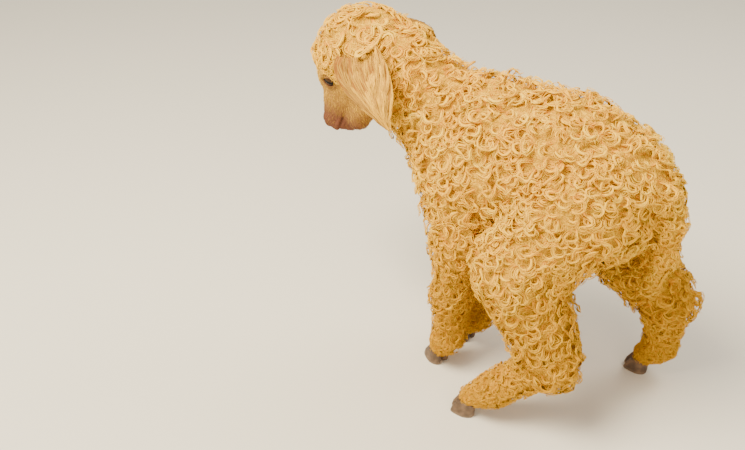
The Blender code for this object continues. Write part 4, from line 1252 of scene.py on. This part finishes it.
def streak_group():
    """Short hair lying down an ear: noise drawn out from root to tip of the leaf, as a height."""
    group, _, out = group_sockets("streaks", [], [("Height", "NodeSocketFloat")])
    joined = group.nodes.new("ShaderNodeCombineXYZ")
    for axis, name, times in (("X", "across", 34.0), ("Y", "along", 7.0)):
        spread = worked(group, "MULTIPLY", attribute(group, name), times)
        group.links.new(spread, joined.inputs[axis])
    group.links.new(noise(group, joined.outputs[0], 1.0, 3.0), out.inputs["Height"])
    return group


MOTTLE = mottle_group()
FIBRES = fibre_group()
STREAKS = streak_group()


def finish(name, roughness, **constants):
    """A Principled material and its tree; constants are set on the shader's own sockets."""
    made = bpy.data.materials.new(name)
    made.use_nodes = True
    shader = made.node_tree.nodes["Principled BSDF"]
    shader.inputs["Roughness"].default_value = roughness
    for socket, value in constants.items():
        shader.inputs[socket.replace("_", " ")].default_value = value
    return made, made.node_tree, shader


def placed(tree, group, **values):
    """A node group placed in a tree with its own values."""
    node = tree.nodes.new("ShaderNodeGroup")
    node.node_tree = group
    for name, value in values.items():
        node.inputs[name].default_value = value
    return node


def bumped(tree, shader, height, strength, distance):
    """A bump from a height, on the shader's normal."""
    node = tree.nodes.new("ShaderNodeBump")
    node.inputs["Strength"].default_value = strength
    node.inputs["Distance"].default_value = distance
    tree.links.new(height, node.inputs["Height"])
    tree.links.new(node.outputs["Normal"], shader.inputs["Normal"])


# Colours of wool, hair, skin, ears, eyes, claws, floor and sky
WOOL_DEEP = (0.78, 0.345, 0.012)
WOOL_MID = (0.95, 0.570, 0.028)
WOOL_TIP = (0.99, 0.710, 0.070)
WOOL_WARM = (0.92, 0.490, 0.020)
# Darker tone of the low legs: partly staining, partly painted shade of the lower body
WOOL_LOW_STAIN_AND_SHADE = (0.56, 0.270, 0.010)
# Under the fleece: painted shade in the hollows of the swirls, a paler tone on their crests
UNDER_HOLLOW_SHADE = (0.72, 0.360, 0.014)
UNDER_PALE = (0.86, 0.500, 0.026)
HAIR_PALE = (0.95, 0.570, 0.045)
FACE_CREAM = (0.38, 0.190, 0.034)
FACE_PALE = (0.50, 0.265, 0.055)
SKIN_PINK = (0.160, 0.062, 0.036)
# Painted shade of the mouth's slit and nostrils, and the lids' dark margin
SLIT_SHADE_LID_BROWN = (0.16, 0.07, 0.045)
EAR_PINK = (0.27, 0.110, 0.016)
EAR_APRICOT = (0.38, 0.165, 0.024)
# Painted shade at the ear's front edge
EAR_FRONT_SHADE = (0.30, 0.118, 0.024)
IRIS_DARK = (0.035, 0.016, 0.007)
IRIS_BROWN = (0.075, 0.036, 0.014)
PUPIL = (0.002, 0.002, 0.003)
EYE_RIM = (0.010, 0.007, 0.006)
HORN_DARK = (0.075, 0.042, 0.024)
HORN_PALE = (0.16, 0.095, 0.055)
HORN_WORN = (0.26, 0.18, 0.12)
FLOOR_PALE = (0.80, 0.78, 0.75, 1.0)
SKY_WARM = (1.0, 0.92, 0.76, 1.0)


def stain_and_shade_low_down(tree, mottle, colour):
    """A colour drawn towards the darker tone of the legs, the more the lower it is: partly staining,
    partly painted shade of the lower body.
    """
    return mixed(tree, ranged(tree, mottle.outputs["Low"], 0.0, 1.0, 0.0, 0.70), colour, WOOL_LOW_STAIN_AND_SHADE)


def wool_material():
    """Fleece: deep and warm at the root, cream at the tip, each lock in its own tone."""
    made, tree, shader = finish("curled_wool", 0.75, Specular_IOR_Level=0.08)
    mottle = placed(tree, MOTTLE, Scale=14.0)
    tips = mixed(tree, attribute(tree, "tone"), WOOL_MID, WOOL_TIP)
    tips = mixed(tree, ranged(tree, mottle.outputs["Slow"], 0.0, 1.0, 0.0, 0.45), tips, WOOL_WARM)
    fibres = placed(tree, FIBRES, Count=6.0).outputs["Height"]
    streaks = ranged(tree, fibres, 0.40, 0.60, 0.0, 0.60)
    tips = mixed(tree, streaks, tips, WOOL_DEEP)
    # Darker down the legs: partly staining, partly painted shade of the lower body
    tips = stain_and_shade_low_down(tree, mottle, tips)
    root = ranged(tree, attribute(tree, "along"), 0.0, 0.35)
    tree.links.new(mixed(tree, root, WOOL_DEEP, tips), shader.inputs["Base Color"])
    bumped(tree, shader, fibres, 0.4, 0.0004)
    return made


def hair_material():
    """Short straight hair: cream, pink where the skin under it shows through, and browned as painted
    shade on the outer face of the shaded ear.
    """
    made, tree, shader = finish("short_hair", 0.65, Specular_IOR_Level=0.12)
    cream = mixed(tree, attribute(tree, "tone"), FACE_CREAM, HAIR_PALE)
    pink = ranged(tree, attribute(tree, "pink"), 0.0, 1.0, 0.0, 0.75)
    tree.links.new(mixed(tree, pink, cream, SKIN_PINK), shader.inputs["Base Color"])
    bumped(tree, shader, placed(tree, FIBRES, Count=4.0).outputs["Height"], 0.3, 0.0002)
    return made


def hide_material():
    """Skin: cream and pink on the face, painted shade in the mouth's slit and nostrils, the lids' dark
    margin, and under the fleece warm wool with painted shade in the hollows of its swirls.
    """
    made, tree, shader = finish("hide", 0.80, Specular_IOR_Level=0.10)
    mottle = placed(tree, MOTTLE, Scale=30.0)
    bare = mixed(tree, mottle.outputs["Fine"], FACE_CREAM, FACE_PALE)
    bare = mixed(tree, attribute(tree, "pink"), bare, SKIN_PINK)
    # rim: painted shade in the mouth's slit and nostrils, and the lids' dark margin
    rim = ranged(tree, attribute(tree, "rim"), 0.2, 1.0, 0.0, 0.80)
    bare = mixed(tree, rim, bare, SLIT_SHADE_LID_BROWN)
    place = tree.nodes.new("ShaderNodeTexCoord").outputs["Object"]
    # The swirls' hollows, low in the bump, are darker: painted shade in the crevices of the
    # under-fleece
    swirls = ranged(tree, noise(tree, place, 95.0, 2.0, 3.5), 0.36, 0.64)
    # Darker down the legs: partly staining, partly painted shade of the lower body
    under = stain_and_shade_low_down(tree, mottle, mixed(tree, swirls, UNDER_HOLLOW_SHADE, UNDER_PALE))
    wool = attribute(tree, "wool")
    tree.links.new(mixed(tree, wool, bare, under), shader.inputs["Base Color"])
    depth = worked(tree, "MULTIPLY", swirls, wool)
    grain = worked(tree, "MULTIPLY_ADD", mottle.outputs["Fine"], 0.20, depth)
    bumped(tree, shader, grain, 0.8, 0.0025)
    return made


def ear_material():
    """Ear: apricot skin, browner at the front edge as painted shade, paler along the rolled rim as a
    painted highlight, with streaks of short hair."""
    made, tree, shader = finish("ear_skin", 0.75, Specular_IOR_Level=0.12)
    mottle = placed(tree, MOTTLE, Scale=45.0)
    patches = ranged(tree, mottle.outputs["Slow"], 0.0, 1.0, 0.0, 0.5)
    skin = mixed(tree, patches, EAR_PINK, EAR_APRICOT)
    # Painted shade: browner towards the front edge
    front = ranged(tree, attribute(tree, "across"), 0.15, 0.80, 0.0, 0.55)
    skin = mixed(tree, front, skin, EAR_FRONT_SHADE)
    # Painted highlight: paler along the rolled rear rim
    rear = ranged(tree, attribute(tree, "across"), -0.86, -0.97, 0.0, 0.80)
    skin = mixed(tree, rear, skin, HAIR_PALE)
    streaks = placed(tree, STREAKS).outputs["Height"]
    skin = mixed(tree, ranged(tree, streaks, 0.46, 0.64, 0.0, 0.30), skin, HAIR_PALE)
    tree.links.new(skin, shader.inputs["Base Color"])
    bumped(tree, shader, streaks, 0.5, 0.0005)
    return made


def eye_material():
    """Eye: dark brown iris round a level slot, black beyond, under a wet gloss."""
    made, tree, shader = finish("wet_eye", 0.05, Specular_IOR_Level=0.12)
    iris = ranged(tree, attribute(tree, "iris"), 0.50, 0.58)
    slot = ranged(tree, attribute(tree, "slot"), 0.13, 0.18)
    place = tree.nodes.new("ShaderNodeTexCoord").outputs["Object"]
    brown = mixed(tree, noise(tree, place, 900.0, 3.0), IRIS_DARK, IRIS_BROWN)
    inner = mixed(tree, slot, PUPIL, brown)
    tree.links.new(mixed(tree, iris, inner, EYE_RIM), shader.inputs["Base Color"])
    return made


def horn_material():
    """Horn of the claws: dull brown with growth bands, paler and worn at the sole."""
    made, tree, shader = finish("claw_horn", 0.48)
    mottle = placed(tree, MOTTLE, Scale=90.0)
    horn = mixed(tree, mottle.outputs["Slow"], HORN_DARK, HORN_PALE)
    worn = ranged(tree, attribute(tree, "height"), 0.30, 0.0, 0.0, 0.6)
    horn = mixed(tree, worn, horn, HORN_WORN)
    tree.links.new(horn, shader.inputs["Base Color"])
    bands = worked(tree, "SINE", worked(tree, "MULTIPLY", attribute(tree, "height"), 58.0))
    bumped(tree, shader, bands, 0.35, 0.0003)
    return made


def stand(obj, right, up, back, place):
    """Put an object at a place, with its own x, y and z along three directions."""
    axes = np.eye(4)
    axes[:3] = np.column_stack([right, up, back, place])
    obj.matrix_world = Matrix(axes.tolist())
    bpy.context.scene.collection.objects.link(obj)


# Soft lamps: place, power, width and colour
LAMPS = {
    "key": ((0.9, -0.5, 1.7), 84.0, 0.9, (1.0, 0.86, 0.58)),
    "fill": ((1.2, 1.4, 0.9), 14.0, 1.2, (1.0, 0.85, 0.60)),
    "rim": ((-1.2, 0.6, 1.5), 18.0, 0.8, (1.0, 0.90, 0.72)),
}
LAMPS_AIM = np.array([0.0, 0.0, 0.22])
SKY_STRENGTH = 0.70
FLOOR_HALF = 9.0


def floor_and_light():
    """A plain pale floor, three soft lamps and an even sky."""
    made, _, shader = finish("pale_floor", 0.85)
    shader.inputs["Base Color"].default_value = FLOOR_PALE
    corners = np.array([(-1.0, -1.0, 0.0), (1.0, -1.0, 0.0), (1.0, 1.0, 0.0), (-1.0, 1.0, 0.0)])
    floor = grown("floor", FLOOR_HALF * corners - SHIFT, np.array([[0, 1, 2, 3]]), made)
    for name, (place, power, size, colour) in LAMPS.items():
        light = bpy.data.lights.new(name, "AREA")
        light.energy = power
        light.size = size
        light.color = colour
        way = unit(np.array(place) - LAMPS_AIM)
        right = unit(np.cross(np.array([0.0, 0.0, 1.0]), way))
        stand(bpy.data.objects.new(name, light), right, np.cross(way, right), way, place)
    world = bpy.data.worlds.new("sky")
    bpy.context.scene.world = world
    world.use_nodes = True
    sky = world.node_tree.nodes["Background"]
    sky.inputs["Color"].default_value = SKY_WARM
    sky.inputs["Strength"].default_value = SKY_STRENGTH


def camera():
    """The camera of the picture: on a ray to the aim point that meets the frame where it is seen."""
    turn, lift, roll = (math.radians(angle) for angle in
                        (CAMERA_AZIMUTH, CAMERA_ELEVATION, CAMERA_ROLL))
    back = np.array([math.sin(turn) * math.cos(lift), -math.cos(turn) * math.cos(lift),
                     math.sin(lift)])
    right = unit(np.cross(-back, np.array([0.0, 0.0, 1.0])))
    up = np.cross(right, -back)
    right, up = (right * math.cos(roll) + up * math.sin(roll),
                 up * math.cos(roll) - right * math.sin(roll))
    ray = (-back + (AIM_SEEN_AT[0] - PICTURE[0] / 2.0) / CAMERA_FOCUS * right
           + (PICTURE[1] / 2.0 - AIM_SEEN_AT[1]) / CAMERA_FOCUS * up)
    lens = bpy.data.cameras.new("picture")
    lens.sensor_width = SENSOR_WIDTH
    lens.lens = CAMERA_FOCUS / PICTURE[0] * SENSOR_WIDTH
    lens.clip_start = 0.01
    viewer = bpy.data.objects.new("picture", lens)
    stand(viewer, right, up, back, AIM + SHIFT - ray * CAMERA_DISTANCE)
    bpy.context.scene.camera = viewer


HIDE, WOOL, HAIR = hide_material(), wool_material(), hair_material()
EAR_SKIN, EYE, HORN = ear_material(), eye_material(), horn_material()

skin = body_skin(HIDE)
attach(skin, "root")
FLESH = ["head", "neck", "torso", "tail"] + [
    f"{pair}leg_{side_name}_{part}" for pair in ("fore", "hind")
    for side_name in ("left", "right") for part in ("upper", "lower")]
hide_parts(*FLESH)

fleece(skin, WOOL)
face_hair(skin, HAIR)
for side_name, spec in EARS.items():
    ear("ear_" + side_name, spec, EAR_SKIN)
    ear_hair("ear_hair_" + side_name, spec, HAIR, EAR_SEEDS[side_name], EAR_BARE_AND_SHADED[side_name])
for seed, (side_name, (centre, facing)) in enumerate(EYES.items(), start=LASH_SEED):
    eyeball("eye_" + side_name, centre, facing, EYE)
    eyelids("lids_" + side_name, centre, facing, HIDE)
    lashes("lashes_" + side_name, centre, facing, HAIR, seed)
for leg_name, joints in LEGS.items():
    claw(leg_name + "_left_claw", joints, 1, HORN)
    claw(leg_name + "_right_claw", joints, -1, HORN)

floor_and_light()
camera()
